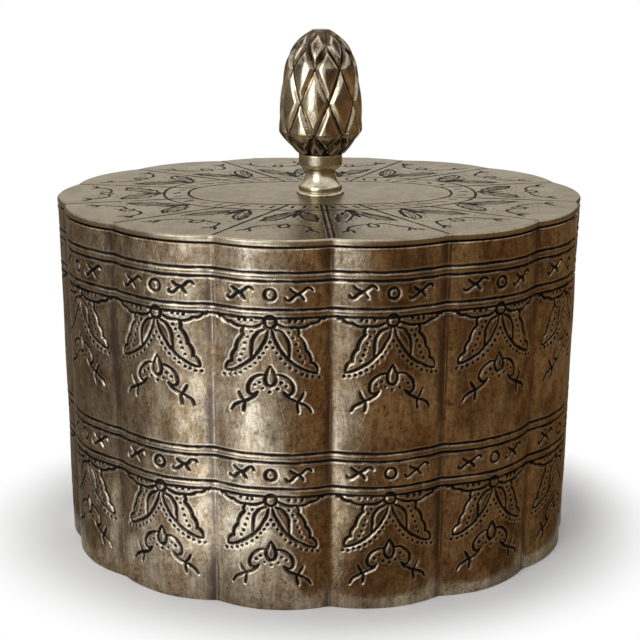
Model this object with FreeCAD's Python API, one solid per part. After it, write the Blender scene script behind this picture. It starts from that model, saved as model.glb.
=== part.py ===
import FreeCAD, Part
import math
import os

# A fluted oval box of plated sheet brass with a flat hinged lid and a cast acorn finial.
# Millimetres. The origin is the middle of the base, on the surface that the box stands on.
# +Z is up, the front is towards -Y, and the hinge is at the back.

# Fluted outline: lobes that meet in soft creases, and the creases lie on an oval.
# A fullness of 2 would make that oval an ellipse, and more of it fills the corners out.
lobe_count = 14
crease_oval_width = 123.0
crease_oval_depth = 100.8
oval_fullness = 2.1
lobe_rise = 3.15
crease_round = 3.5

# Body
body_height = 82.6
wall = 1.0
base_thickness = 1.0
solder_gap = 0.05

# Chased lines round the body: two tiers, each a band between two pairs of lines
tier_count = 2
tier_pitch = 40.4
band_drop = 5.2
band_height = 7.95
line_pair_spacing = 1.85
line_width = 0.7
line_depth = 0.3

# Lid
lid_gap = 0.3
lid_edge_height = 1.5
lid_sheet = 0.8
lid_lip = 1.2
lid_edge_round = 0.6
bezel_reach = 5.0
bezel_thickness = 0.8
bezel_clearance = 0.5

# Hinge: two knuckles on the body, one on the lid between them, and a pin
pin_radius = 0.6
pin_running_clearance = 0.05
pin_seat_clearance = 0.02
pin_chamfer = 0.2
knuckle_radius = 1.2
knuckle_wall_gap = 0.4
knuckle_end_gap = 0.2
lid_knuckle_length = 14.0
body_knuckle_length = 9.0
leaf_thickness = 0.7
body_leaf_drop = 0.3
lid_leaf_lift = 0.2

# Finial pedestal, turned
flange_radius = 5.8
flange_height = 0.7
flange_bow = 0.18
foot_radius = 5.15
foot_height = 1.3
foot_bow = 0.13
flare_height = 2.9
waist_radius = 3.6
waist_hollow = 0.25
waist_height = 0.8
collar_chamfer_height = 1.5
collar_radius = 5.25
collar_height = 2.4

# Finial acorn, cast
acorn_base_radius = 5.6
acorn_widest_radius = 10.1
acorn_shoulder_radius = 8.7
acorn_tip_radius = 1.9
acorn_skirt_height = 5.4
acorn_side_height = 15.0
acorn_dome_height = 8.8
acorn_skirt_bulge = 0.2
acorn_side_bulge = 0.4
acorn_dome_bulge = 1.45
acorn_edge_round = 0.8

# Finial fastening
stud_radius = 1.5
stud_hole_clearance = 0.1
thread_clearance = 0.02
stud_in_acorn = 9.0
stud_past_nut = 1.0
washer_radius = 3.5
washer_thickness = 0.5
nut_across_flats = 5.5
nut_height = 2.4

UP = FreeCAD.Vector(0, 0, 1)
ACROSS = FreeCAD.Vector(1, 0, 0)
OVAL_STEPS = 7200

# Heights that follow from the sizes above
lid_bottom = body_height + lid_gap
lid_top = lid_bottom + lid_edge_height
lid_underside = lid_top - lid_sheet
pedestal_height = (flange_height + foot_height + flare_height + waist_height
                   + collar_chamfer_height + collar_height)
acorn_bottom = lid_top + pedestal_height
acorn_top = acorn_bottom + acorn_skirt_height + acorn_side_height + acorn_dome_height
nut_bottom = lid_underside - washer_thickness - nut_height


def point(x, y, z=0.0):
    return FreeCAD.Vector(x, y, z)


def towards(start, end):
    """Unit vector from one point to another."""
    return (end - start).normalize()


def oval_point(turn):
    """The point of the crease oval at a turn from the front centre."""
    across = math.sin(turn)
    forward = math.cos(turn)
    reach = (abs(across / (crease_oval_width / 2)) ** oval_fullness
             + abs(forward / (crease_oval_depth / 2)) ** oval_fullness) ** (-1 / oval_fullness)
    return point(across * reach, -forward * reach)


def crease_points():
    """Points at equal distances round the crease oval, the first at the front centre."""
    oval = [oval_point(2 * math.pi * step / OVAL_STEPS) for step in range(OVAL_STEPS + 1)]
    lengths = [0.0]
    for before, after in zip(oval, oval[1:]):
        lengths.append(lengths[-1] + before.distanceToPoint(after))
    found = []
    step = 0
    for number in range(lobe_count):
        wanted = lengths[-1] * number / lobe_count
        while lengths[step + 1] < wanted:
            step += 1
        share = (wanted - lengths[step]) / (lengths[step + 1] - lengths[step])
        found.append(oval[step] + (oval[step + 1] - oval[step]) * share)
    return found


def lobe_circle(start, end):
    """Centre, radius and outward direction of the lobe between two creases."""
    chord = start.distanceToPoint(end)
    along = towards(start, end)
    outward = point(along.y, -along.x)
    radius = chord ** 2 / (8 * lobe_rise) + lobe_rise / 2
    centre = (start + end) * 0.5 + outward * (lobe_rise - radius)
    return centre, radius, outward


def hollow_centre(before, after):
    """Centre of the round hollow that touches two neighbouring lobes from outside."""
    first_centre, first_radius, _ = before
    second_centre, second_radius, _ = after
    first_reach = first_radius + crease_round
    second_reach = second_radius + crease_round
    apart = first_centre.distanceToPoint(second_centre)
    along = towards(first_centre, second_centre)
    outward = point(along.y, -along.x)
    foot = (apart ** 2 + first_reach ** 2 - second_reach ** 2) / (2 * apart)
    height = math.sqrt(first_reach ** 2 - foot ** 2)
    return first_centre + along * foot + outward * height


creases = crease_points()
lobes = [lobe_circle(creases[number], creases[(number + 1) % lobe_count])
         for number in range(lobe_count)]
hollows = [hollow_centre(lobes[number - 1], lobes[number]) for number in range(lobe_count)]


def outline(offset):
    """The fluted outline at z = 0, moved outwards by offset: one arc a lobe, one a crease."""
    edges = []
    for number in range(lobe_count):
        centre, radius, outward = lobes[number]
        next_number = (number + 1) % lobe_count
        start = centre + towards(centre, hollows[number]) * (radius + offset)
        end = centre + towards(centre, hollows[next_number]) * (radius + offset)
        edges.append(Part.Arc(start, centre + outward * (radius + offset), end).toShape())
        hollow = hollows[next_number]
        next_centre, next_radius, _ = lobes[next_number]
        next_start = next_centre + towards(next_centre, hollow) * (next_radius + offset)
        inward = towards(hollow, (end + next_start) * 0.5)
        edges.append(Part.Arc(end, hollow + inward * (crease_round - offset), next_start).toShape())
    return Part.Wire(edges)


def prism(offset, low, high):
    """A solid of the fluted outline between two heights."""
    face = Part.Face(outline(offset))
    return face.extrude(UP * (high - low)).translated(UP * low)


def oval_prism(inset, low, high):
    """A solid of the ellipse inside the crease oval, drawn in by inset, between two heights."""
    oval = Part.Ellipse(point(0, 0), crease_oval_width / 2 - inset, crease_oval_depth / 2 - inset)
    face = Part.Face(Part.Wire(oval.toShape()))
    return face.extrude(UP * (high - low)).translated(UP * low)


def post(radius, low, high):
    """An upright cylinder on the finial's axis."""
    return Part.makeCylinder(radius, high - low, point(0, 0, low), UP)


def turned(edges):
    """A solid of revolution about Z, from profile edges in the XZ plane."""
    face = Part.Face(Part.Wire(edges))
    return face.revolve(point(0, 0), UP, 360)


def line(start, end):
    return Part.LineSegment(start, end).toShape()


def bowed(start, end, bow):
    """A profile arc between two points, bowed away from Z by bow, or towards it if negative."""
    along = towards(start, end)
    middle = (start + end) * 0.5 + point(along.z, 0, -along.x) * bow
    return Part.Arc(start, middle, end).toShape()


def line_heights():
    """Heights of the middles of the chased lines."""
    for tier in range(tier_count):
        first = body_height - band_drop - tier * tier_pitch
        for pair in (0, band_height):
            for place in (0, line_pair_spacing):
                yield first - pair - place


def make_body_wall():
    shell = prism(0, 0, body_height).cut(prism(-wall, 0, body_height))
    for height in line_heights():
        low = height - line_width / 2
        high = height + line_width / 2
        shell = shell.cut(prism(line_depth, low, high).cut(prism(-line_depth, low, high)))
    return shell


def make_base_plate():
    return prism(-wall - solder_gap, 0, base_thickness)


def make_lid_plate():
    plate = prism(0, lid_bottom, lid_top)
    rim = [edge for edge in plate.Edges
           if all(abs(vertex.Z - lid_top) < 1e-6 for vertex in edge.Vertexes)]
    plate = plate.makeFillet(lid_edge_round, rim)
    plate = plate.cut(prism(-lid_lip, lid_bottom, lid_underside))
    return plate.cut(post(stud_radius + stud_hole_clearance, lid_underside, lid_top))


def make_lid_bezel():
    inset = wall + bezel_clearance
    low = body_height - bezel_reach
    return oval_prism(inset, low, lid_underside).cut(
        oval_prism(inset + bezel_thickness, low, lid_underside))


hinge_y = outline(0).BoundBox.YMax + knuckle_wall_gap + knuckle_radius
hinge_z = body_height + lid_gap / 2


def barrel(radius, start, length):
    """A cylinder along the hinge axis."""
    return Part.makeCylinder(radius, length, point(start, hinge_y, hinge_z), ACROSS)


def knuckle(start, length, leaf_low, bore_radius):
    """A hinge knuckle with a flat leaf that reaches forward to the fluted side."""
    leaf_start = crease_oval_depth / 2 - lobe_rise
    leaf = Part.makeBox(length, hinge_y - leaf_start, leaf_thickness, point(start, leaf_start, leaf_low))
    leaf = leaf.cut(prism(0, leaf_low, leaf_low + leaf_thickness))
    whole = barrel(knuckle_radius, start, length).fuse(leaf)
    return whole.cut(barrel(bore_radius, start, length)).removeSplitter()


def make_lid_knuckle():
    return knuckle(-lid_knuckle_length / 2, lid_knuckle_length, lid_bottom + lid_leaf_lift,
                   pin_radius + pin_running_clearance)


def make_body_knuckle(side):
    inner = lid_knuckle_length / 2 + knuckle_end_gap
    start = inner if side > 0 else -inner - body_knuckle_length
    return knuckle(start, body_knuckle_length, body_height - body_leaf_drop - leaf_thickness,
                   pin_radius + pin_seat_clearance)


def make_hinge_pin():
    half = lid_knuckle_length / 2 + knuckle_end_gap + body_knuckle_length
    pin = barrel(pin_radius, -half, 2 * half)
    ends = [edge for edge in pin.Edges if len(edge.Vertexes) == 1]
    return pin.makeChamfer(pin_chamfer, ends)


def make_pedestal():
    bore = stud_radius + stud_hole_clearance
    foot_bottom = lid_top + flange_height
    foot_top = foot_bottom + foot_height
    waist_bottom = foot_top + flare_height
    waist_top = waist_bottom + waist_height
    collar_bottom = waist_top + collar_chamfer_height
    flange_edge = point(flange_radius, 0, lid_top)
    return turned([
        line(point(bore, 0, lid_top), flange_edge),
        bowed(flange_edge, point(foot_radius, 0, foot_bottom), flange_bow),
        bowed(point(foot_radius, 0, foot_bottom), point(foot_radius, 0, foot_top), foot_bow),
        bowed(point(foot_radius, 0, foot_top), point(waist_radius, 0, waist_bottom), -waist_hollow),
        line(point(waist_radius, 0, waist_bottom), point(waist_radius, 0, waist_top)),
        bowed(point(waist_radius, 0, waist_top), point(collar_radius, 0, collar_bottom), waist_hollow),
        line(point(collar_radius, 0, collar_bottom), point(collar_radius, 0, acorn_bottom)),
        line(point(collar_radius, 0, acorn_bottom), point(bore, 0, acorn_bottom)),
        line(point(bore, 0, acorn_bottom), point(bore, 0, lid_top)),
    ])


def make_acorn():
    skirt_top = acorn_bottom + acorn_skirt_height
    shoulder = skirt_top + acorn_side_height
    widest = point(acorn_widest_radius, 0, skirt_top)
    shoulder_edge = point(acorn_shoulder_radius, 0, shoulder)
    tip_edge = point(acorn_tip_radius, 0, acorn_top)
    base_edge = point(acorn_base_radius, 0, acorn_bottom)
    acorn = turned([
        line(point(0, 0, acorn_bottom), base_edge),
        bowed(base_edge, widest, acorn_skirt_bulge),
        bowed(widest, shoulder_edge, acorn_side_bulge),
        bowed(shoulder_edge, tip_edge, acorn_dome_bulge),
        line(tip_edge, point(0, 0, acorn_top)),
        line(point(0, 0, acorn_top), point(0, 0, acorn_bottom)),
    ])
    skirt = [edge for edge in acorn.Edges
             if all(abs(vertex.Z - skirt_top) < 1e-6 for vertex in edge.Vertexes)]
    acorn = acorn.makeFillet(acorn_edge_round, skirt)
    return acorn.cut(post(stud_radius + thread_clearance, acorn_bottom, acorn_bottom + stud_in_acorn))


def make_stud():
    return post(stud_radius, nut_bottom - stud_past_nut, acorn_bottom + stud_in_acorn)


def make_washer():
    low = lid_underside - washer_thickness
    return post(washer_radius, low, lid_underside).cut(
        post(stud_radius + stud_hole_clearance, low, lid_underside))


def make_nut():
    corner = nut_across_flats / math.sqrt(3)
    turns = [math.pi * side / 3 for side in range(7)]
    corners = [point(corner * math.cos(turn), corner * math.sin(turn), nut_bottom) for turn in turns]
    hexagon = Part.Face(Part.makePolygon(corners)).extrude(UP * nut_height)
    return hexagon.cut(post(stud_radius + thread_clearance, nut_bottom, nut_bottom + nut_height))


pieces = {
    "body_wall": make_body_wall(),
    "base_plate": make_base_plate(),
    "body_knuckle_left": make_body_knuckle(-1),
    "body_knuckle_right": make_body_knuckle(1),
    "hinge_pin": make_hinge_pin(),
    "lid_plate": make_lid_plate(),
    "lid_bezel": make_lid_bezel(),
    "lid_knuckle": make_lid_knuckle(),
    "finial_pedestal": make_pedestal(),
    "finial_acorn": make_acorn(),
    "finial_stud": make_stud(),
    "finial_washer": make_washer(),
    "finial_nut": make_nut(),
}

os.makedirs("parts", exist_ok=True)
for name, shape in pieces.items():
    shape.exportStep(f"parts/{name}.step")
    print(name, "solids", len(shape.Solids), "valid", shape.isValid(), "volume", round(shape.Volume, 2))
print("hinge axis at y", round(hinge_y, 4), "z", round(hinge_z, 4))
print("top of the finial at z", round(acorn_top, 3))
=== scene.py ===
# %% [markdown]
# A fluted oval table box in silver plate that has tarnished to brown and gold.
# The lid is flat and engraved, and carries a cast acorn on a turned foot.
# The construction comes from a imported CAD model, so every size below is in that model's frame.
# Its solids are plain. This script adds what a silversmith would: chasing, engraving, casting and patina.

# %% Load the frame
import math

import bpy
import numpy as np
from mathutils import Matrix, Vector


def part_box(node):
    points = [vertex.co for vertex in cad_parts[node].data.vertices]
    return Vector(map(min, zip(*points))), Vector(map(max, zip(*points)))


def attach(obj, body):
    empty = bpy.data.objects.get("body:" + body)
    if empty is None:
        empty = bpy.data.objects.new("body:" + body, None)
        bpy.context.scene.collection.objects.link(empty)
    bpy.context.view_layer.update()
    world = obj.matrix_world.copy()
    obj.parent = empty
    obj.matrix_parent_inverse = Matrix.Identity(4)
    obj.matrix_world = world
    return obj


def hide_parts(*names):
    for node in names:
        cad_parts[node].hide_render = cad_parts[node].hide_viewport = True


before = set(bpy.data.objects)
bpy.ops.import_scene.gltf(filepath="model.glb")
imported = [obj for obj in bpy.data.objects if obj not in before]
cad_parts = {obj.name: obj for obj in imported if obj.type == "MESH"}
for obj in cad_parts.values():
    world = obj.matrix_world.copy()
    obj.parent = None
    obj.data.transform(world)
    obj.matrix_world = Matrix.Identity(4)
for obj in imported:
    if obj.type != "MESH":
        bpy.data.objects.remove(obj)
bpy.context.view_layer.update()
MM = 0.001

# %% [markdown]
# Every step below adds objects, materials and nodes.
# These helpers do in one call what otherwise takes several, so that each step shows only its own idea.

# %% Scene helpers


def add_object(name, data):
    """A new object at the origin, linked to the scene."""
    made = bpy.data.objects.new(name, data)
    bpy.context.scene.collection.objects.link(made)
    return made


def mesh_object(name, points, faces, material=None):
    """A new object from points in metres and faces of point numbers."""
    mesh = bpy.data.meshes.new(name)
    mesh.from_pydata(points, [], faces)
    if material:
        mesh.materials.append(material)
    return add_object(name, mesh)


def aim_at(thing, target):
    """Turns a camera or a lamp towards a place."""
    sight = Vector(target) - thing.location
    thing.rotation_euler = sight.to_track_quat("-Z", "Y").to_euler()


def blank_material(name):
    """A material with an empty node tree, and that tree."""
    material = bpy.data.materials.new(name)
    material.use_nodes = True
    material.node_tree.nodes.clear()
    return material, material.node_tree


print("scene helpers ready")

# %% Node helpers


def add_node(tree, kind, inputs=None, **settings):
    """Adds a node, sets its properties, and sets or links its inputs by name or number."""
    made = tree.nodes.new(kind)
    for name, value in settings.items():
        setattr(made, name, value)
    for name, value in (inputs or {}).items():
        socket = made.inputs[name]
        if isinstance(value, bpy.types.NodeSocket):
            tree.links.new(value, socket)
        else:
            socket.default_value = value
    return made


def calculate(tree, operation, *values, clamp=False):
    """A Math node: values are numbers or sockets."""
    made = add_node(tree, "ShaderNodeMath", dict(enumerate(values)), operation=operation, use_clamp=clamp)
    return made.outputs[0]


def vector_math(tree, operation, inputs, output=0):
    """A Vector Math node."""
    return add_node(tree, "ShaderNodeVectorMath", inputs, operation=operation).outputs[output]


def blend_colours(tree, share, first, second, way="MIX"):
    """A colour Mix node from first to second."""
    sockets = {0: share, 6: first, 7: second}
    return add_node(tree, "ShaderNodeMix", sockets, data_type="RGBA", blend_type=way).outputs[2]


def ease(tree, value, start, end, low=0.0, high=1.0):
    """A smooth step of value from start to end."""
    sockets = {"Value": value, "From Min": start, "From Max": end, "To Min": low, "To Max": high}
    return add_node(tree, "ShaderNodeMapRange", sockets, interpolation_type="SMOOTHSTEP").outputs[0]


def noise(tree, place, scale, detail=3.0, rough=0.55, distortion=0.0):
    """A Noise Texture's value."""
    sockets = {"Vector": place, "Scale": scale, "Detail": detail, "Roughness": rough,
               "Distortion": distortion}
    return add_node(tree, "ShaderNodeTexNoise", sockets).outputs[0]


def stretched(tree, place, stretch):
    """A place multiplied axis by axis, which draws a pattern out along the axes with small numbers."""
    return vector_math(tree, "MULTIPLY", {0: place, 1: stretch})


def object_place(tree):
    """Object coordinates, which hold a pattern to its piece."""
    return add_node(tree, "ShaderNodeTexCoord").outputs["Object"]


def rgb(red, green, blue):
    return (red, green, blue, 1.0)


print("node helpers ready")

# %% [markdown]
# The camera stands a little left of the front and looks down by about sixteen degrees.
# Its place was found by matching the creases of the wall and the notches of the lid.

# %% Camera
CAMERA_PLACE = (-15.55, -319.64, 145.72)
CAMERA_AIM = (0.06, 0.0, 52.17)
CAMERA_LENS, CAMERA_SENSOR = 75.28, 36.0
CAMERA_ROLL = 0.0049
CAMERA_NEAREST = 0.01

camera_data = bpy.data.cameras.new("camera")
camera_data.sensor_width = CAMERA_SENSOR
camera_data.lens = CAMERA_LENS
camera_data.clip_start = CAMERA_NEAREST
camera = add_object("camera", camera_data)
camera.location = Vector(CAMERA_PLACE) * MM
aim_at(camera, Vector(CAMERA_AIM) * MM)
camera.rotation_euler.rotate_axis("Z", CAMERA_ROLL)
bpy.context.scene.camera = camera
print("camera at", [round(v, 4) for v in camera.location], "lens", camera_data.lens)

# %% [markdown]
# The stage is a pale floor that turns white away from the box, under a white sky.
# Whatever looks at the sky straight or in a mirror sees full white.
# As a source of soft light it is only half as strong, or it would wash out the shadow under the box.

# %% World and floor
WHITE = rgb(1, 1, 1)
SKY_FOR_DIFFUSE = 0.55
FLOOR_HALF = 6.0
FLOOR_TONE, FLOOR_ROUGHNESS = rgb(0.84, 0.84, 0.8316), 0.8
WHITE_FROM, WHITE_AT = 0.064, 0.092
BOX_OVAL = (1.0, 1.2, 1.0)


def seen_directly(tree):
    """1 for rays that show the background as it is: straight, mirrored or through glass."""
    path = add_node(tree, "ShaderNodeLightPath").outputs
    mirrored = calculate(tree, "MAXIMUM", path["Is Camera Ray"], path["Is Glossy Ray"])
    return calculate(tree, "MAXIMUM", mirrored, path["Is Transmission Ray"])


def floor_material():
    """Pale paper round the box that turns to plain white further off."""
    material, tree = blank_material("pale_floor")
    reach = vector_math(tree, "LENGTH", {0: stretched(tree, object_place(tree), BOX_OVAL)}, "Value")
    far = ease(tree, reach, WHITE_FROM, WHITE_AT)
    paper = add_node(tree, "ShaderNodeBsdfPrincipled",
                     {"Base Color": FLOOR_TONE, "Roughness": FLOOR_ROUGHNESS})
    white = add_node(tree, "ShaderNodeEmission", {"Color": WHITE, "Strength": 1.0})
    share = calculate(tree, "MULTIPLY", far, seen_directly(tree))
    mixed = add_node(tree, "ShaderNodeMixShader", {0: share, 1: paper.outputs[0], 2: white.outputs[0]})
    add_node(tree, "ShaderNodeOutputMaterial", {"Surface": mixed.outputs[0]})
    return material


world = bpy.data.worlds.new("white_sky")
world.use_nodes = True
bpy.context.scene.world = world
sky = world.node_tree
sky.nodes.clear()
sky_strength = calculate(sky, "MAXIMUM", seen_directly(sky), SKY_FOR_DIFFUSE)
background = add_node(sky, "ShaderNodeBackground", {"Color": WHITE, "Strength": sky_strength})
add_node(sky, "ShaderNodeOutputWorld", {"Surface": background.outputs[0]})

floor_corners = [(x * FLOOR_HALF, y * FLOOR_HALF, 0) for x, y in ((-1, -1), (1, -1), (1, 1), (-1, 1))]
floor = mesh_object("floor", floor_corners, [(0, 1, 2, 3)], floor_material())
print("floor", 2 * FLOOR_HALF, "m wide, white beyond", WHITE_AT, "m")

# %% [markdown]
# A large soft lamp at the front left does most of the work, as a window would.
# A dimmer one hangs above.
# An upright wall that is seen from above mirrors the table and not the window,
# so a low strip of cool light lies on the table at the front left and gives the lobes their bright streaks.

# %% Lamps
BOX_MIDDLE = (0.0, 0.0, 0.05)
DAYLIGHT, NEUTRAL, COOL = (0.95, 1.0, 1.06), (1.0, 1.0, 1.0), (0.88, 1.0, 1.18)
LAMPS = {
    "window_left": dict(place=(-0.57, -0.76, 0.42), size=(0.55, 0.85), glow=3.4, tint=DAYLIGHT),
    "ceiling": dict(place=(-0.15, 0.1, 1.1), size=(0.9, 0.9), glow=1.0, tint=NEUTRAL),
    "low_strip": dict(place=(-0.122, -0.19, 0.003), size=(0.052, 0.3), glow=1.75, tint=COOL),
}
STRIP_TURN = math.radians(-37)


def soft_lamp(name, place, size, glow, tint):
    """A rectangular lamp of an even glow, so its power follows from its area."""
    data = bpy.data.lights.new(name, "AREA")
    data.color = tint
    data.shape = "RECTANGLE"
    data.size, data.size_y = size
    data.energy = glow * math.pi * size[0] * size[1]
    lamp = add_object(name, data)
    lamp.location = place
    return lamp


lamps = {name: soft_lamp(name, **look) for name, look in LAMPS.items()}
aim_at(lamps["window_left"], BOX_MIDDLE)
aim_at(lamps["ceiling"], BOX_MIDDLE)
# The strip shines straight up
lamps["low_strip"].rotation_euler = (math.pi, 0, STRIP_TURN)
print("lamps:", list(lamps))

# %% [markdown]
# Polished metal shows whatever stands around it. A brown card lies round the front right of the box
# and a grey one round its left, and both turn up at their far edge.
# Each lobe then has one bright flank and one shaded flank, which is what makes it look round.
# Only reflections show the cards: the camera doesn't see them, and they give no shadow and no soft light.

# %% Cards
CARDS = {
    "brown_card": dict(turns=(-4, 150), light=rgb(0.46, 0.28, 0.128), dark=rgb(0.29, 0.17, 0.076),
                       # The brown card's upright tone is painted shade
                       upright=rgb(0.13, 0.083, 0.05)),
    "grey_card": dict(turns=(-160, -62), light=rgb(0.44, 0.38, 0.33), dark=rgb(0.28, 0.24, 0.21),
                      upright=rgb(0.5, 0.45, 0.4)),
}
# The near edge is an oval just outside the box, given by its half sizes
CARD_NEAR = (0.066, 0.0555)
CARD_FAR, CARD_LIFT, CARD_HEIGHT = 0.75, 0.001, 0.38
CARD_POINTS = 49
UPRIGHT_FROM, UPRIGHT_AT = 0.02, 0.3
FIBRES_PER_METRE, CARD_ROUGHNESS = 9.0, 0.9


def at_height(places, height):
    """Places in a plane, lifted to a height."""
    return np.column_stack([places, np.full(len(places), height)])


def card_material(name, light, dark, upright):
    """Mottled paper, with a tone painted on where the card turns up: painted shade on the brown card, a
    paler tone on the grey one.
    """
    material, tree = blank_material(name)
    place = object_place(tree)
    fibres = noise(tree, place, FIBRES_PER_METRE, detail=4.0, rough=0.5)
    tone = blend_colours(tree, fibres, light, dark)
    height = add_node(tree, "ShaderNodeSeparateXYZ", {0: place}).outputs["Z"]
    # Where the card turns up it takes the painted upright tone
    tone = blend_colours(tree, ease(tree, height, UPRIGHT_FROM, UPRIGHT_AT), tone, upright)
    paper = add_node(tree, "ShaderNodeBsdfPrincipled", {"Base Color": tone, "Roughness": CARD_ROUGHNESS})
    add_node(tree, "ShaderNodeOutputMaterial", {"Surface": paper.outputs[0]})
    return material


def round_card(name, turns, **tones):
    """A card on the table round part of the box, from one turn in degrees to another."""
    turned = np.radians(np.linspace(*turns, CARD_POINTS))
    ways = np.stack([np.sin(turned), -np.cos(turned)], 1)
    lines = [at_height(ways * CARD_NEAR, CARD_LIFT), at_height(ways * CARD_FAR, CARD_LIFT),
             at_height(ways * CARD_FAR, CARD_HEIGHT)]
    faces = [(a, a + CARD_POINTS, a + CARD_POINTS + 1, a + 1)
             for line in range(2) for a in range(line * CARD_POINTS, (line + 1) * CARD_POINTS - 1)]
    card = mesh_object(name, np.concatenate(lines), faces, card_material(name, **tones))
    card.visible_camera = False
    card.visible_diffuse = False
    card.visible_shadow = False
    return card


cards = [round_card(name, **look) for name, look in CARDS.items()]
print("cards:", [card.name for card in cards])

# %% [markdown]
# The outline of wall and lid is fourteen lobes that meet in soft creases on an oval.
# A lobe is an arc over its chord, and a crease is a small arc that touches both neighbours from outside.
# Because all of it is arcs, a point at any distance along a lobe and the direction out of it are exact.

# %% The fluted outline
LOBES = 14
CREASE_OVAL, OVAL_FULLNESS = np.array([123.0, 100.8]) / 2, 2.1
LOBE_RISE = 3.15
CREASE_ROUND = 3.5
OVAL_STEPS = 7200


def unit(vector):
    return vector / np.linalg.norm(vector)


def unit_rows(vectors):
    return vectors / np.linalg.norm(vectors, axis=1)[:, None]


def right_of(vector):
    return np.array([vector[1], -vector[0]])


def oval_reach(ways, half_sizes, fullness):
    """How far an oval lies from the middle along each way. A fullness of 2 is an ellipse."""
    shares = np.abs(ways) / np.asarray(half_sizes)
    return (shares ** fullness).sum(1) ** (-1 / fullness)


def crease_points():
    """Points at equal distances round the oval, the first at the front centre."""
    turn = np.linspace(0, 2 * np.pi, OVAL_STEPS + 1)
    ways = np.stack([np.sin(turn), -np.cos(turn)], 1)
    oval = ways * oval_reach(ways, CREASE_OVAL, OVAL_FULLNESS)[:, None]
    lengths = np.concatenate([[0], np.cumsum(np.linalg.norm(np.diff(oval, axis=0), axis=1))])
    wanted = lengths[-1] * np.arange(LOBES) / LOBES
    return np.stack([np.interp(wanted, lengths, oval[:, axis]) for axis in (0, 1)], 1)


def lobe_circles(creases):
    """Centres and radii of the arcs that rise over the chords between creases."""
    centres, radii = [], []
    for start, end in zip(creases, np.roll(creases, -1, axis=0)):
        chord = np.linalg.norm(end - start)
        radius = chord ** 2 / (8 * LOBE_RISE) + LOBE_RISE / 2
        centres.append((start + end) / 2 + right_of(unit(end - start)) * (LOBE_RISE - radius))
        radii.append(radius)
    return centres, radii


def hollow_middles(centres, radii):
    """Centres of the creases' small arcs, each as far from both neighbours as the arcs need to touch."""
    middles = []
    for number in range(LOBES):
        first, second = centres[number - 1], centres[number]
        first_reach = radii[number - 1] + CREASE_ROUND
        second_reach = radii[number] + CREASE_ROUND
        apart = np.linalg.norm(second - first)
        along = unit(second - first)
        foot = (apart ** 2 + first_reach ** 2 - second_reach ** 2) / (2 * apart)
        aside = math.sqrt(first_reach ** 2 - foot ** 2)
        middles.append(first + along * foot + right_of(along) * aside)
    return middles


lobe_centres, lobe_radii = lobe_circles(crease_points())
hollow_centres = hollow_middles(lobe_centres, lobe_radii)
print("lobes of radius", round(min(lobe_radii), 2), "to", round(max(lobe_radii), 2), "mm")

# %% Places along the outline
TOUCHING = 1e-9
OUTLINE_POINTS = 400


def heading(origin, target):
    step = target - origin
    return math.atan2(step[1], step[0])


def crease_heading(number):
    """From the middle of a crease's hollow straight to the crease."""
    hollow = hollow_centres[number]
    before = unit(lobe_centres[number - 1] - hollow)
    after = unit(lobe_centres[number] - hollow)
    return heading(np.zeros(2), before + after)


def lobe_arcs(number):
    """Half a crease, the lobe and half a crease. Each arc has its centre, radius, first heading and turn,
    and 1 where the box's outside lies away from the centre, or -1 where it lies towards it."""
    after = (number + 1) % LOBES
    centre, left, right = lobe_centres[number], hollow_centres[number], hollow_centres[after]
    ends = [(left, CREASE_ROUND, crease_heading(number), heading(left, centre), -1),
            (centre, lobe_radii[number], heading(centre, left), heading(centre, right), 1),
            (right, CREASE_ROUND, heading(right, centre), crease_heading(after), -1)]
    return [(middle, reach, first, (last - first + math.pi) % (2 * math.pi) - math.pi, side)
            for middle, reach, first, last, side in ends]


def lobe_length(number):
    return sum(reach * abs(turn) for _, reach, _, turn, _ in lobe_arcs(number))


def along_lobe(number, shares):
    """Points on a lobe and the directions out of it, at shares of its length from 0 to 1."""
    places = np.zeros((len(shares), 2))
    outward = np.zeros((len(shares), 2))
    distance = np.asarray(shares) * lobe_length(number)
    begun = 0.0
    for middle, reach, first, turn, side in lobe_arcs(number):
        length = reach * abs(turn)
        here = (distance >= begun - TOUCHING) & (distance <= begun + length + TOUCHING)
        angle = first + turn * (distance[here] - begun) / length
        spoke = np.stack([np.cos(angle), np.sin(angle)], 1)
        places[here] = middle + spoke * reach
        outward[here] = spoke * side
        begun += length
    return places, outward


wall_low, wall_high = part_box("body_wall")
lobe_lengths = [lobe_length(number) for number in range(LOBES)]
perimeter = sum(lobe_lengths)
outline = np.concatenate([along_lobe(number, np.linspace(0, 1, OUTLINE_POINTS))[0]
                          for number in range(LOBES)])
print("outline", np.round(np.ptp(outline, axis=0), 2), "mm, round it", round(perimeter, 1), "mm")
print("CAD wall", [round((wall_high[axis] - wall_low[axis]) / MM, 2) for axis in (0, 1)], "mm")

# %% [markdown]
# Chasing pushes lines into the sheet with blunt punches, so a line has a rounded floor and soft shoulders.
# It could be painted with a bump map, but then the lines would vanish from the exported shape.
# Here each line is a drawn curve, and a point of a fine mesh goes down more the closer it is to one.
# The same distances leave two values on the mesh for the materials:
# the dirt in a groove, and the clean edge beside it, which hands have worn bright and which also carries a
# painted highlight.

# %% Drawn lines


def smooth_step(value, start, end):
    share = np.clip((value - start) / (end - start), 0, 1)
    return share * share * (3 - 2 * share)


def flowing(points, steps=6):
    """A smooth curve through given points (Catmull-Rom)."""
    drawn = np.asarray(points, float)
    padded = np.concatenate([[2 * drawn[0] - drawn[1]], drawn, [2 * drawn[-1] - drawn[-2]]])
    shares = np.linspace(0, 1, steps, endpoint=False)[:, None]
    runs = []
    for a, b, c, d in zip(padded, padded[1:], padded[2:], padded[3:]):
        runs.append(0.5 * (2 * b + (c - a) * shares + (2 * a - 5 * b + 4 * c - d) * shares ** 2
                           + (3 * b - a - 3 * c + d) * shares ** 3))
    return np.concatenate(runs + [drawn[-1:]])


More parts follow.
